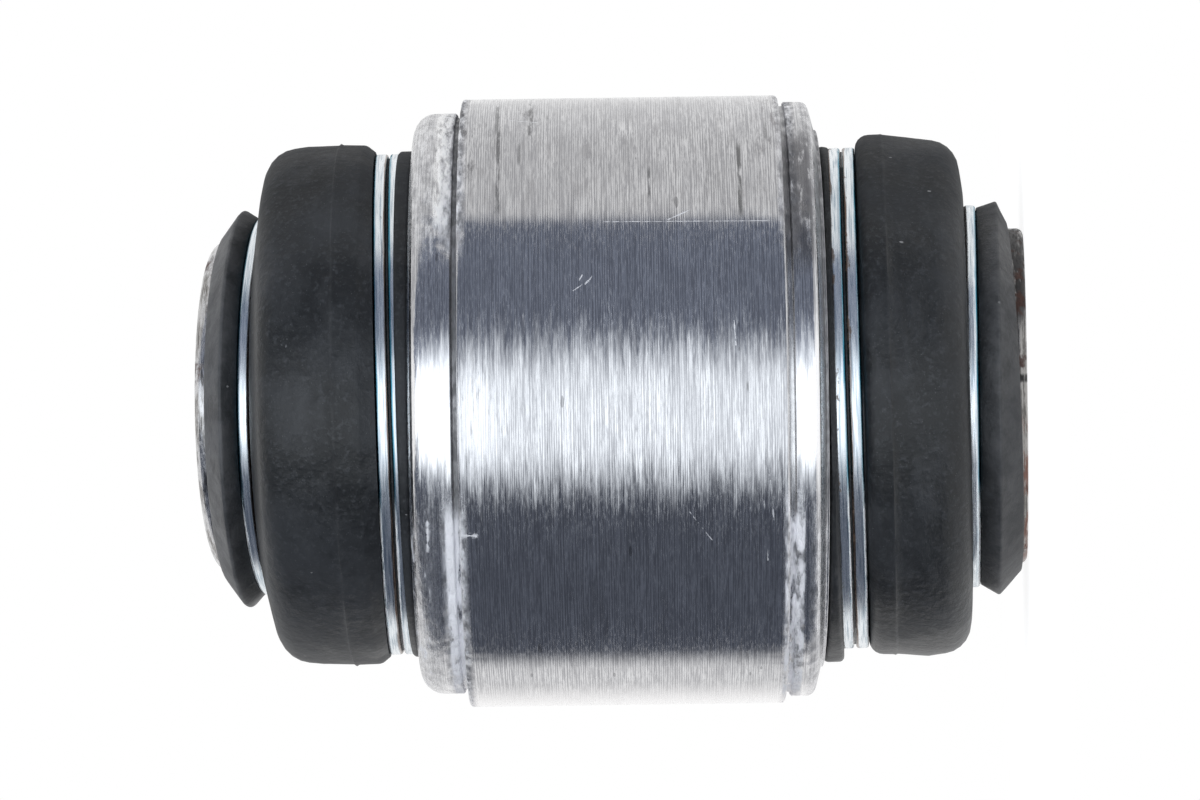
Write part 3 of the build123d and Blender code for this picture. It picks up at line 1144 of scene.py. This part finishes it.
@dataclass
class Housing:
    """The turned housing, its edges chipped and its shoulders worn."""

    frame: Frame
    segments: int = 464
    spacing: float = 0.25
    plain_step: float = 2.0
    groove_width: float = 0.4
    upper_groove_r: float = 21.15
    lower_groove_r: float = 21.7
    upper_shoulder_r: float = 21.5
    upper_end: float = 15.15
    rim_round: float = 1.6
    rim_hook_r: float = 16.45
    pocket_r: float = 17.6
    pocket_top: float = 12.9
    pocket_foot: float = -9.15
    mouth_r: float = 13.3
    spigot_bore_r: float = 13.9
    mouth_foot: float = -13.0
    lower_shoulder_r: float = 22.0
    lower_shoulder_half: float = 13.7
    lower_chamfer_r: float = 19.9
    lower_chamfer_half: float = 14.25
    lower_end: float = 14.45
    lower_even: float = 0.9
    lower_worn: float = 0.35
    band_rims: tuple[float, float] = (0.6, 0.7)
    upper_worn: tuple[float, float] = (0.7, 1.1)
    spigot_r: float = 16.3
    spigot_half: float = 17.9
    chips: Roughening = Roughening(depth=1.3, scale=800.0, threshold=0.47, calm=0.35)
    scratches: tuple[Scratch, ...] = (
        Scratch((-9.2, -20.55, 11.3), (-9.3, -20.5, 10.1), 0.2),
        Scratch((-8.0, -21.0, 11.25), (-10.1, -20.1, 11.25), 0.22),
        Scratch((7.75, -21.12, 3.04), (8.2, -20.95, 2.4), 0.05),
        Scratch((8.2, -20.95, 2.2), (8.75, -20.73, 1.7), 0.08),
        Scratch((8.5, -20.84, 2.6), (8.85, -20.69, 2.4), 0.06),
        Scratch((5.55, -21.8, -8.16), (3.81, -22.18, -8.26), 0.06),
        Scratch((-5.28, -21.87, -10.5), (-8.44, -20.86, -10.78), 0.06),
        Scratch((-7.03, -21.37, -10.08), (-11.3, -19.47, -10.36), 0.06),
        Scratch((-7.8, -21.1, -4.9), (-9.8, -20.25, -6.45), 0.045),
        Scratch((-8.13, -19.9, 13.5), (-10.4, -18.8, 13.55), 0.16),
        Scratch((20.4, -9.49, 7.64), (20.2, -9.91, 5.58), 0.06),
        Scratch((12.65, -18.61, 0.9), (12.55, -18.67, -11.2), 0.038),
        Scratch((12.75, -18.54, -3.7), (13.4, -18.07, -5.2), 0.07),
    )
    scuffs: tuple[Scuff, ...] = (
        # Painted shade, broken into smudges: this first patch darkens the band's +X side so that its
        # reflection of the white wall reads dimmer.
        Scuff((-12.0, 11.3), (13.4, 30.0), (0.34, 0.335, 0.345), 0.5, 0.2, 1.0, 0.4, 0.0),
        # Painted highlight: the next three lighter windows, on the band's +Z end and on the two shoulders,
        # lie where the soft box's highlight falls and make it reach white.
        Scuff((8.4, 11.4), (-5.5, 3.0), (0.9, 0.9, 0.92), 0.4, 1.6, 2.2, 0.8, 0.0),
        Scuff((11.7, 15.3), (-5.6, 4.2), (0.95, 0.95, 0.96), 0.85, 0.2, 2.0, 1.5, 0.0),
        Scuff((-14.2, -12.1), (-5.6, 5.0), (0.95, 0.95, 0.96), 0.85, 0.2, 2.0, 1.5, 0.0),
        Scuff((8.2, 8.5), (13.3, 21.6), (0.1, 0.1, 0.105), 0.7, 0.08, 0.5, 0.6, 0.2),
        Scuff((8.7, 9.3), (18.5, 20.6), (0.2, 0.2, 0.205), 0.7, 0.15, 0.5, 0.5, 0.2),
        Scuff((5.9, 6.25), (18.9, 22.4), (0.14, 0.14, 0.145), 0.85, 0.1, 0.4, 0.6, 0.2),
        Scuff((-8.95, -8.65), (12.9, 18.2), (0.1, 0.1, 0.1), 0.8, 0.08, 0.5, 0.95, 0.2),
        Scuff((10.95, 11.5), (17.0, 22.6), (0.1, 0.098, 0.105), 0.85, 0.12, 0.6, 0.6, 0.3),
        Scuff((8.4, 8.65), (19.4, 21.8), (0.14, 0.14, 0.145), 0.75, 0.08, 0.4, 0.9, 0.2),
        Scuff((6.75, 6.95), (17.0, 18.5), (0.18, 0.18, 0.185), 0.65, 0.06, 0.3, 0.9, 0.2),
        Scuff((-2.5, -2.3), (14.4, 16.5), (0.12, 0.12, 0.125), 0.75, 0.06, 0.3, 0.9, 0.2),
        Scuff((-10.9, -10.7), (18.6, 19.9), (0.2, 0.2, 0.205), 0.65, 0.08, 0.3, 0.9, 0.2),
        Scuff((-11.8, -10.2), (17.8, 22.0), (0.22, 0.21, 0.22), 0.75, 0.3, 0.7, 0.42, 0.2),
        Scuff((11.7, 14.4), (9.5, 30.0), (0.93, 0.93, 0.94), 0.9, 0.3, 1.2, 0.42, 0.5),
        Scuff((11.9, 12.9), (12.2, 30.0), (1.0, 1.0, 1.0), 1.0, 0.25, 0.8, 0.75, 0.4),
        Scuff((12.4, 14.6), (9.0, 24.0), (0.2, 0.195, 0.2), 0.7, 0.3, 1.5, 0.22, 0.3),
        Scuff((11.25, 12.3), (-30.0, -7.4), (0.97, 0.97, 1.0), 1.0, 0.12, 1.6, 0.95),
        Scuff((-13.0, -11.6), (-30.0, -7.0), (0.97, 0.97, 1.0), 1.0, 0.12, 1.8, 0.72),
        Scuff((13.5, 14.9), (-22.0, -9.0), (0.9, 0.9, 0.93), 0.9, 0.2, 1.5, 0.4),
        # Painted reflection: this pinkish-white strip along the whole -X edge stands in for the glare of the
        # white floor.
        Scuff((-14.0, 15.0), (-30.0, -21.2), (0.97, 0.95, 0.95), 0.9, 0.2, 1.3, 1.4, 0.1),
        Scuff((9.9, 11.2), (15.5, 20.5), (0.12, 0.115, 0.12), 0.8, 0.4, 1.0, 0.36, 0.4),
        Scuff((4.8, 7.0), (20.0, 22.3), (0.13, 0.125, 0.13), 0.7, 0.5, 0.5, 0.34, 0.4),
        Scuff((-14.0, -11.9), (9.5, 19.2), (0.12, 0.118, 0.125), 0.85, 0.3, 1.5, 1.05, 0.3),
        Scuff((1.15, 1.3), (-3.1, -2.5), (0.12, 0.12, 0.12), 0.6, 0.05, 0.2, 0.7, 0.1),
        Scuff((-9.1, -8.95), (0.6, 1.2), (0.12, 0.12, 0.12), 0.6, 0.05, 0.2, 0.7, 0.1),
    )

    def outline(self) -> Outline:
        """Returns the housing's closed outline."""
        square = Hold(self.frame.swivel, self.frame.swivel)
        offset, band_r, band = self.frame.band_offset, self.frame.band_r, self.frame.band_half
        groove = band + self.groove_width
        plain = {"step": self.plain_step}

        def at(r: float, half: float, **more: float) -> Corner:
            """Returns a corner placed from the middle of the band."""
            return Corner(r, half + offset, square, **more)

        outside = [
            at(self.spigot_r, -self.spigot_half, round=0.4),
            at(self.spigot_r, -self.lower_end, round=0.1),
            at(self.lower_chamfer_r, -self.lower_end, round=0.1, wear=0.2, grime=0.8),
            at(self.lower_chamfer_r, -self.lower_chamfer_half, round=0.08, wear=0.3, grime=0.9),
            at(self.lower_shoulder_r, -self.lower_shoulder_half, round=0.6, wear=0.4),
            at(self.lower_shoulder_r, self.lower_even - self.lower_shoulder_half),
            at(self.lower_shoulder_r, -groove - self.lower_worn, wear=1.0),
            at(self.lower_shoulder_r, -groove, round=0.15, wear=1.0),
            at(self.lower_groove_r, -groove, round=0.08, wear=0.6, grime=0.35),
            at(self.lower_groove_r, -band, round=0.08, wear=0.3, grime=0.35),
            at(band_r, -band, round=0.25, wear=0.6),
            at(band_r, self.band_rims[0] - band, **plain),
            at(band_r, band - self.band_rims[1]),
            at(band_r, band, round=0.25, wear=1.0),
            at(self.upper_groove_r, band, round=0.1, wear=0.4, grime=1.0),
            at(self.upper_groove_r, groove, round=0.1, wear=0.4, grime=1.0),
            at(self.upper_shoulder_r, groove, round=0.15, wear=1.0),
            at(self.upper_shoulder_r, groove + self.upper_worn[0], wear=0.8),
            at(self.upper_shoulder_r, groove + self.upper_worn[1], wear=0.15),
            at(self.upper_shoulder_r, self.upper_end, round=self.rim_round, wear=0.3),
        ]
        inside = [
            at(self.rim_hook_r, self.upper_end, round=0.3, **plain),
            Corner(self.rim_hook_r, self.pocket_top, square, **plain),
            Corner(self.pocket_r, self.pocket_top, square, **plain),
            Corner(self.pocket_r, self.pocket_foot, square, **plain),
            Corner(self.mouth_r, self.pocket_foot, square, round=0.2, **plain),
            Corner(self.spigot_bore_r, self.mouth_foot, square, round=0.5, **plain),
            at(self.spigot_bore_r, -self.spigot_half, round=0.4, **plain),
        ]
        return Outline(outside + inside, self.spacing)

    def build(self) -> None:
        """Makes the housing's mesh and dresses it and the closing ring."""
        steel = TurnedSteel(
            "housing_steel",
            tilt=self.frame.swivel,
            band=(self.frame.band_offset, self.frame.band_half),
            scratches=self.scratches,
            scuffs=self.scuffs,
        ).material(self.frame.effects)
        piece = self.frame.lathe.turn("housing_shell", self.outline(), self.segments, self.chips, steel)
        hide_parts("outer_housing")
        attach(piece, "housing")
        LOG.info("made %s", piece.name)
        ring = TurnedSteel("closing_ring_steel", tilt=self.frame.swivel, roughness=0.25)
        self.frame.dress("closing_ring", ring.material(self.frame.effects))


@dataclass
class BallSleeve:
    """The bored ball sleeve, its ends dirty, scraped and rusty."""

    frame: Frame
    scuffs: tuple[Scuff, ...] = (
        Scuff((28.0, 31.0), (-14.0, 14.0), (0.66, 0.66, 0.67), 0.85, 0.2, 1.5, 0.75, 0.15),
        Scuff((28.0, 31.0), (2.5, 14.0), (0.16, 0.15, 0.15), 0.8, 0.2, 1.5, 0.4, 0.5),
        Scuff((28.0, 31.0), (4.0, 9.0), (0.8, 0.79, 0.81), 0.7, 0.2, 1.0, 0.22, 0.7),
        Scuff((28.0, 31.0), (-14.0, -5.0), (0.75, 0.74, 0.74), 0.7, 0.2, 1.5, 0.3, 0.5),
        Scuff((-31.0, -27.0), (5.5, 14.0), (0.02, 0.018, 0.018), 1.0, 0.2, 1.5, 0.9),
        Scuff((-31.0, -27.0), (-12.0, -2.0), (0.3, 0.13, 0.09), 0.85, 0.2, 1.0, 0.6),
        Scuff((-31.0, -29.4), (1.0, 1.5), (0.01, 0.01, 0.01), 1.0, 0.1, 0.15, 1.0),
    )

    def build(self) -> None:
        """Dresses the sleeve."""
        finish = TurnedSteel(
            "sleeve_steel",
            bright=(0.42, 0.41, 0.4),
            dull=(0.13, 0.125, 0.12),
            roughness=0.16,
            lines=4000.0,
            rust_from=0.58,
            rust_full=0.66,
            scuffs=self.scuffs,
        )
        self.frame.dress("ball_sleeve", finish.material(self.frame.effects))


@dataclass
class BallSeats:
    """The two plastic half-seats."""

    frame: Frame

    def build(self) -> None:
        """Dresses the seats."""
        plastic = GreasedPlastic("seat_plastic").material(self.frame.effects)
        for side in Side:
            self.frame.dress(f"{side.label}_ball_seat", plastic)


@dataclass
class DustBoot:
    """A rubber boot: bead and lip on the housing, bellows, neck and lip on the sleeve.

    Attributes:
        inner_wall: The bellows' inner corners from the neck down: radius, height, share of the way to the
            sleeve and rounding.
    """

    frame: Frame
    side: Side
    rubber: DustyRubber
    bead_turn: float
    bellows_turn: float
    bead_mid: float
    lip_r: float
    lip_cover: float
    lip_turn: float
    lip_round: float
    crown: Corner
    neck_rim: Corner
    neck_end: Corner
    lip_shift: float = 0.0
    near_shift: float = 0.0
    segments: int = 320
    spacing: float = 0.55
    bead_lean: float = BEAD_LEAN
    bead_foot: float = 14.85
    bead_half: float = 1.03
    bead_bore_r: float = 16.45
    bead_groove_r: float = 17.1
    hook_r: float = 18.6
    rib_r: float = 18.25
    rib_half: float = 0.065
    start_r: float = 18.75
    start_round: float = 0.6
    bulge_r: float = 19.28
    bulge_fall: float = 0.03
    bulge_foot: float = 18.1
    bulge_top_r: float = 19.2
    bulge_top: float = 22.4
    mould_line: float = 19.95
    flash: float = 0.1
    flash_half: float = 0.16
    flank: Corner = Corner(15.2, 25.7, round=0.9)
    neck_flare_r: float = 13.5
    neck_groove_r: float = 12.9
    neck_groove_low: float = 25.62
    neck_groove_high: float = 26.6
    lip_corner_r: float = 13.9
    collar_r: float = 12.4
    collar_low: float = 28.05
    neck_bore_r: float = 10.05
    neck_foot: float = 24.75
    inner_wall: tuple[tuple[float, ...], ...] = (
        (12.6, 24.7, 1.0, 0.5),
        (16.6, 24.1, 0.3, 1.2),
        (17.45, 21.5, 0.0, 2.0),
        (17.3, 18.9, 0.0, 1.0),
    )
    pits: Roughening = Roughening(depth=0.5, scale=260.0, threshold=0.42)
    blend_from: float = 24.25
    blend_to: float = 17.3
    blend_tilt: float = 2.4

    def outline(self) -> Outline:
        """Returns the boot's closed outline."""
        swivel = self.frame.swivel
        foot = Hold(swivel, swivel)
        bead = Hold(swivel, self.bead_turn, self.bead_lean)
        lip = Hold(swivel, self.lip_turn, self.bead_lean, self.lip_shift)
        near = Hold(swivel, self.bellows_turn, self.bead_lean, self.near_shift)
        far = Hold(swivel, self.bellows_turn, self.bead_lean)
        neck = SQUARE_ON_SLEEVE

        def at(r: float, z: float, hold: Hold, **more: float) -> Corner:
            """Returns a corner on this end of the bush."""
            return Corner(r, self.side.value * z, hold, **more)

        def wall(r: float, z: float, share: float = 0.0, hold: Hold = far, **more: float) -> Corner:
            """Returns a corner of the bellows, held at a share of the way to the sleeve."""
            return at(r, z, hold.toward(neck, share), **{"wear": 0.3} | more)

        low, high = self.bead_mid - self.bead_half, self.bead_mid + self.bead_half
        rib_low, rib_high = self.bead_mid - self.rib_half, self.bead_mid + self.rib_half
        covered = low + self.lip_cover
        sunk = self.rib_r - self.bead_groove_r
        rim, end, crown, flank = self.neck_rim, self.neck_end, self.crown, self.flank
        beads = [
            at(self.bead_bore_r, self.bead_foot, foot),
            at(self.lip_r, self.bead_foot, replace(foot, shift=self.lip_shift), round=self.lip_round),
            at(self.lip_r, covered, lip, round=self.lip_round, wear=0.3),
            at(self.hook_r, covered, lip),
            at(self.hook_r, low, bead),
            at(self.bead_groove_r, low, bead),
            at(self.bead_groove_r, rib_low, bead),
            at(self.rib_r, rib_low, bead, dip=sunk),
            at(self.rib_r, rib_high, bead, dip=sunk),
            at(self.bead_groove_r, rib_high, bead),
            at(self.bead_groove_r, high, bead),
            at(self.start_r, high, bead, wear=0.2),
        ]
        bellows = [
            wall(self.bulge_r - self.bulge_fall, self.bulge_foot, hold=near, round=self.start_round),
            wall(self.bulge_r, self.mould_line - self.flash_half, hold=near, wear=0.1),
            wall(self.bulge_r + self.flash, self.mould_line, hold=near, wear=1.0, grime=0.12),
            wall(self.bulge_r - self.bulge_fall, self.mould_line + self.flash_half, hold=near, wear=0.1),
            wall(self.bulge_top_r, self.bulge_top),
            wall(crown.r, crown.z, share=0.12, round=crown.round),
            wall(flank.r, flank.z, share=0.65, round=flank.round),
            wall(self.neck_flare_r, self.neck_groove_low, share=0.95),
        ]
        necks = [
            at(self.neck_groove_r, self.neck_groove_low, neck),
            at(self.neck_groove_r, self.neck_groove_high, neck),
            at(self.lip_corner_r, self.neck_groove_high, neck, round=0.1),
            at(rim.r, rim.z, rim.hold, round=rim.round, wear=0.5, grime=0.8),
            at(end.r, end.z, end.hold, round=end.round, wear=0.5, grime=0.9),
            at(self.collar_r, end.z, replace(end.hold, shift=0.0), grime=0.5),
            at(self.collar_r, self.collar_low, neck),
            at(self.neck_bore_r, self.collar_low, neck),
            at(self.neck_bore_r, self.neck_foot, neck),
        ]
        inside = [wall(r, z, share=share, round=turn, wear=0.0) for r, z, share, turn in self.inner_wall]
        last = at(self.bead_bore_r, high - 0.1, bead, round=0.3)
        return Outline([*beads, *bellows, *necks, *inside, last], self.spacing)

    def build(self) -> None:
        """Makes the boot's mesh."""
        name, rubber = f"{self.side.label}_dust_boot", self.rubber.material(self.frame.effects)
        piece = self.frame.lathe.turn(name, self.outline(), self.segments, self.pits, rubber)
        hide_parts(f"{self.side.label}_boot")
        tilt = math.radians(self.blend_tilt)
        axis = Vector((0.0, -math.sin(tilt), math.cos(tilt))) * self.side.value * MM
        start, end = tuple(axis * self.blend_from), tuple(axis * self.blend_to)
        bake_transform(piece)
        LOG.info("made %s", piece.name)


@dataclass
class Clamps:
    """The flat wire clamps on the beads and the split rings on the necks.

    Attributes:
        seats: Each bead's end, turn, height and the noise level at which its clamp's brown specks begin.
        half_gap: Half the distance between a clamp's two turns.
        ring_middle: Height of the rings.
        ring_spots_from: Noise level at which their brown specks begin.
    """

    frame: Frame
    seats: tuple[tuple[Side, float, float, float], ...] = (
        (Side.UPPER, UPPER_BEAD_TURN, UPPER_BEAD_MID, 0.78),
        (Side.LOWER, LOWER_BEAD_TURN, LOWER_BEAD_MID, 0.66),
    )
    half_gap: float = 0.54
    ring_middle: float = 26.11
    ring_spots_from: float = 0.76

    def build(self) -> None:
        """Dresses the clamps."""
        for side, tilt, middle, spots_from in self.seats:
            place = {"apart": self.half_gap, "tilt": tilt, "lean": BEAD_LEAN}
            wire = PlatedWire(f"{side.label}_clamp_wire", side, middle, spots_from=spots_from, **place)
            self.frame.dress(f"{side.label}_housing_clamp", wire.material(self.frame.effects))
            name = f"{side.label}_neck_wire"
            ring = PlatedWire(name, side, self.ring_middle, apart=0.0, spots_from=self.ring_spots_from)
            self.frame.dress(f"{side.label}_neck_clamp", ring.material(self.frame.effects))


# Camera and studio


@dataclass(frozen=True)
class SideCamera:
    """A long lens that looks at the standing bush from low down, laid on its side so that +Z is to the left.

    Attributes:
        distance: From the sleeve's axis, in millimetres.
        rise: Angle that the lens looks up by, in degrees.
        roll: Turn of the picture, in degrees.
        aim: Height on the axis that the lens looks at, in millimetres.
        shift_up: Distance of the lens from the plane of the two axes, in millimetres.
        lens: Focal length in millimetres on the sensor.
        sensor: Width of the sensor in millimetres.
        reach: Nearest and farthest distance that the lens sees, in metres.
    """

    distance: float = 355.6
    rise: float = 3.99
    roll: float = 0.8
    aim: float = 1.41
    shift_up: float = 0.11
    lens: float = 144.0
    sensor: float = 36.0
    reach: tuple[float, float] = (0.01, 20.0)

    def build(self) -> None:
        """Makes the camera and sets it as the scene's."""
        rise, roll = math.radians(self.rise), math.radians(self.roll)
        forward = Vector((0.0, math.cos(rise), math.sin(rise)))
        right = Vector((0.0, math.sin(rise), -math.cos(rise)))
        up = right.cross(forward)
        right, up = right * math.cos(roll) - up * math.sin(roll), up * math.cos(roll) + right * math.sin(roll)
        data = bpy.data.cameras.new("side_camera")
        data.lens, data.sensor_width = self.lens, self.sensor
        data.clip_start, data.clip_end = self.reach
        place = Matrix((right, up, -forward)).transposed().to_4x4()
        below = self.aim - self.distance * math.tan(rise)
        place.translation = Vector((self.shift_up, -self.distance, below)) * MM
        camera = show("side_camera", data)
        camera.matrix_world = place
        bpy.context.scene.camera = camera


@dataclass(frozen=True)
class SoftLamp:
    """An oval lamp at an angle from -Y towards +X, in degrees, with its width and height in metres."""

    name: str
    angle: float
    width: float
    height: float
    radiance: float
    colour: Colour = WHITE


@dataclass(frozen=True)
class Panel:
    """An even stretch of the screen between two angles from -Y towards +X, in degrees.

    Attributes:
        first: Where it begins.
        last: Where it ends. From there the glow eases into that of the next panel.
        glow: Its share of the screen's full glow.
        tint: Its colour.
    """

    name: str
    first: float
    last: float
    glow: float
    tint: Colour = WHITE

    def stops(self) -> list[tuple[float, Colour]]:
        """The two angles of the panel, each with its colour."""
        colour = tuple(self.glow * share for share in self.tint)
        return [(self.first, colour), (self.last, colour)]


@dataclass(frozen=True)
class Studio:
    """A white room with two soft front lamps, and a dark screen round the front that the metal reflects.

    Attributes:
        floor_r: Radius of the floor, in metres.
        shadow_keep: Share of the floor's own tone that is seen close to the bush.
        shadow_reach: Where that share begins to fade and where it is gone, in metres from the axis.
        open_reach: Where the floor begins to let reflections through and where it is open to them.
        panels: The soft box, the dark flags beside it and the white surfaces beyond, from low to high.
    """

    floor_r: float = 0.32
    floor_tone: float = 0.9
    shadow_keep: float = 0.5
    shadow_reach: tuple[float, float] = (0.03, 0.12)
    open_reach: tuple[float, float] = (0.03, 0.045)
    floor_light: float = 0.27
    ambient: float = 0.25
    steps: int = 96
    lamp_distance: float = 0.9
    lamps: tuple[SoftLamp, ...] = (
        SoftLamp("key_lamp", -5.5, 0.58, 0.6, 1.5),
        SoftLamp("fill_lamp", -4.0, 0.76, 0.8, 1.1, (0.88, 0.94, 1.0)),
    )
    screen_distance: float = 1.0
    screen_half: float = 4.5
    screen_glow: float = 1.85
    panels: tuple[Panel, ...] = (
        Panel("white_floor", -130.0, -120.0, 0.6),
        Panel("lower_flag", -105.0, -40.0, 0.08, COOL_GREY),
        Panel("soft_box", -15.0, 5.0, 0.9, COOL_WHITE),
        Panel("upper_flag", 30.0, 71.0, 0.15, COOL_GREY),
        Panel("white_wall", 71.5, 120.0, 0.5),
    )

    def build(self) -> None:
        """Makes the world, the floor, the lamps and the screen."""
        self._world()
        self._floor()
        for lamp in self.lamps:
            self._lamp(lamp)
        self._screen()
        bpy.context.scene.view_settings.view_transform = "Standard"

    def _world(self) -> None:
        """Makes a world that is seen as white and lights softly."""
        world = bpy.data.worlds.new("white_room")
        bpy.context.scene.world = world
        world.use_nodes = True
        wire = Wiring(world.node_tree)
        background = wire.nodes["Background"].inputs
        rays = wire.values("LightPath")
        seen = rays["Is Camera Ray"].at_least(rays["Is Glossy Ray"]).at_least(rays["Is Transmission Ray"])
        wire.put(background["Color"], WHITE)
        wire.put(background["Strength"], seen.ramp(0.0, 1.0, self.ambient, 1.0))

    @staticmethod
    def _blank(name: str, mesh: bpy.types.Mesh) -> tuple[Wiring, Any]:
        """Gives a mesh a material with no shader yet.

        Args:
            name: The material's name.
            mesh: The mesh that shows it.

        Returns:
            The material's wiring and the socket that takes its shader.
        """
        material = bpy.data.materials.new(name)
        material.use_nodes = True
        mesh.materials.append(material)
        wire = Wiring(material.node_tree)
        wire.nodes.remove(wire.nodes["Principled BSDF"])
        return wire, wire.nodes["Material Output"].inputs["Surface"]

    def _floor(self) -> None:
        """Makes a round pale floor that keeps a soft shadow near the bush and fades into the white room."""
        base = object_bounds()[0][2]
        turns = [FULL_TURN * i / self.steps for i in range(self.steps)]
        ring = [(self.floor_r * math.cos(turn), self.floor_r * math.sin(turn), base) for turn in turns]
        mesh = bpy.data.meshes.new("floor")
        mesh.from_pydata(ring, [], [tuple(range(self.steps))])
        floor = show("floor", mesh)
        wire, surface = self._blank("pale_floor", mesh)
        rays = wire.values("LightPath")
        flat = wire.vectors("MULTIPLY", wire.value("TexCoord", "Object"), (1.0, 1.0, 0.0))
        away = wire.vectors("LENGTH", flat)
        keep = away.ramp(*self.shadow_reach, self.shadow_keep, 0.0)
        seen = rays["Is Camera Ray"].at_least(rays["Is Glossy Ray"])
        tone = (1.0 - seen * (1.0 - keep)) * self.floor_tone
        pale = wire.value("BsdfDiffuse", Color=wire.value("CombineColor", Red=tone, Green=tone, Blue=tone))
        white = wire.value("Emission", Color=WHITE, Strength=seen * (1.0 - keep * self.floor_light))
        lit = wire.row("AddShader", {}, pale, white)
        through = rays["Is Glossy Ray"] * away.ramp(*self.open_reach)
        wire.put(surface, wire.row("MixShader", {}, through, lit, wire.value("BsdfTransparent")))
        floor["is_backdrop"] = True

    @staticmethod
    def _around(angle: float, distance: float) -> Vector:
        """Returns the point at an angle from -Y towards +X and a distance from the axis."""
        turn = math.radians(angle)
        return Vector((math.sin(turn) * distance, -math.cos(turn) * distance, 0.0))

    def _lamp(self, soft: SoftLamp) -> None:
        """Makes one lamp, which faces the axis.

        Args:
            soft: The lamp.
        """
        data = bpy.data.lights.new(soft.name, "AREA")
        data.shape = "ELLIPSE"
        data.size, data.size_y = soft.width, soft.height
        data.energy = soft.radiance * math.pi * (math.pi / 4 * soft.width * soft.height)
        data.color = soft.colour
        lamp = show(soft.name, data)
        lamp.location = self._around(soft.angle, self.lamp_distance)
        lamp.rotation_euler = (-lamp.location).to_track_quat("-Z", "Y").to_euler()
        lamp.visible_camera = False
        lamp.visible_glossy = False

    def _screen(self) -> None:
        """Makes the curved screen, toned by the angle round the bush."""
        tones = [stop for panel in self.panels for stop in panel.stops()]
        (first, _), (last, _) = tones[0], tones[-1]
        corners = []
        for i in range(self.steps + 1):
            foot = self._around(mix(first, last, i / self.steps), self.screen_distance)
            corners += [(foot.x, foot.y, -self.screen_half), (foot.x, foot.y, self.screen_half)]
        mesh = bpy.data.meshes.new("toned_screen")
        mesh.from_pydata(corners, [], [(i, i + 1, i + 3, i + 2) for i in range(0, 2 * self.steps, 2)])
        screen = show("toned_screen", mesh)
        wire, surface = self._blank("toned_screen", mesh)
        x, y, _ = wire.value("TexCoord", "Object").axes()
        angle = wire.maths("ARCTAN2", x, y * -1.0)
        ends = {"From_Min": math.radians(first), "From_Max": math.radians(last)}
        ramp = wire.add("ValToRGB", Fac=wire.value("MapRange", Value=angle, **ends))
        ramp.color_ramp.interpolation = "EASE"
        stops = ramp.color_ramp.elements
        for tone_angle, _ in tones[1:-1]:
            stops.new((tone_angle - first) / (last - first))
        for stop, (_, colour) in zip(stops, tones):
            stop.color = (*colour, 1.0)
        tone = Value(wire, ramp.outputs["Color"])
        wire.put(surface, wire.value("Emission", Color=tone, Strength=self.screen_glow))
        screen.visible_camera = False
        screen.visible_shadow = False
        screen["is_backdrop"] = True


def main() -> None:
    """Builds the camera, the studio and every sub-assembly."""
    logging.basicConfig(level=logging.INFO, format="%(message)s")
    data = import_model()
    SideCamera().build()
    Studio().build()
    frame = Frame(data, Effects(), Lathe())
    Housing(frame).build()
    BallSleeve(frame).build()
    BallSeats(frame).build()
    marks = (
        Scratch((4.9, -18.55, 23.9), (4.3, -18.7, 23.5), 0.07),
        Scratch((4.7, -18.6, 23.1), (4.0, -18.75, 23.2), 0.06),
        Scratch((-9.1, -16.9, 18.35), (-9.2, -16.85, 18.2), 0.1),
    )
    upper = DustBoot(
        frame,
        Side.UPPER,
        DustyRubber("upper_boot_rubber", tilt=3.1, scratches=marks),
        bead_turn=UPPER_BEAD_TURN,
        bellows_turn=3.1,
        bead_mid=UPPER_BEAD_MID,
        lip_r=18.75,
        lip_cover=0.28,
        lip_turn=3.7,
        lip_round=0.25,
        crown=Corner(18.9, 25.28, round=2.35),
        neck_rim=Corner(14.9, 27.7, Hold(shift=-0.2), round=0.22),
        neck_end=Corner(13.0, 29.1, Hold(shift=-0.2), round=0.3),
    )
    lower = DustBoot(
        frame,
        Side.LOWER,
        DustyRubber("lower_boot_rubber"),
        bead_turn=LOWER_BEAD_TURN,
        bellows_turn=1.3,
        bead_mid=LOWER_BEAD_MID,
        lip_r=19.1,
        lip_cover=0.2,
        lip_turn=1.0,
        lip_round=0.4,
        lip_shift=-0.45,
        near_shift=0.24,
        start_r=18.25,
        start_round=1.05,
        crown=Corner(18.78, 25.5, round=2.2),
        neck_rim=Corner(14.55, 28.0, Hold(tilt=0.3, lean=0.1, shift=-0.15), round=0.2),
        neck_end=Corner(12.9, 29.15, Hold(tilt=1.6, lean=-1.7), round=0.2),
    )
    for boot in (upper, lower):
        boot.build()
    Clamps(frame).build()


if __name__ == "__main__":
    main()
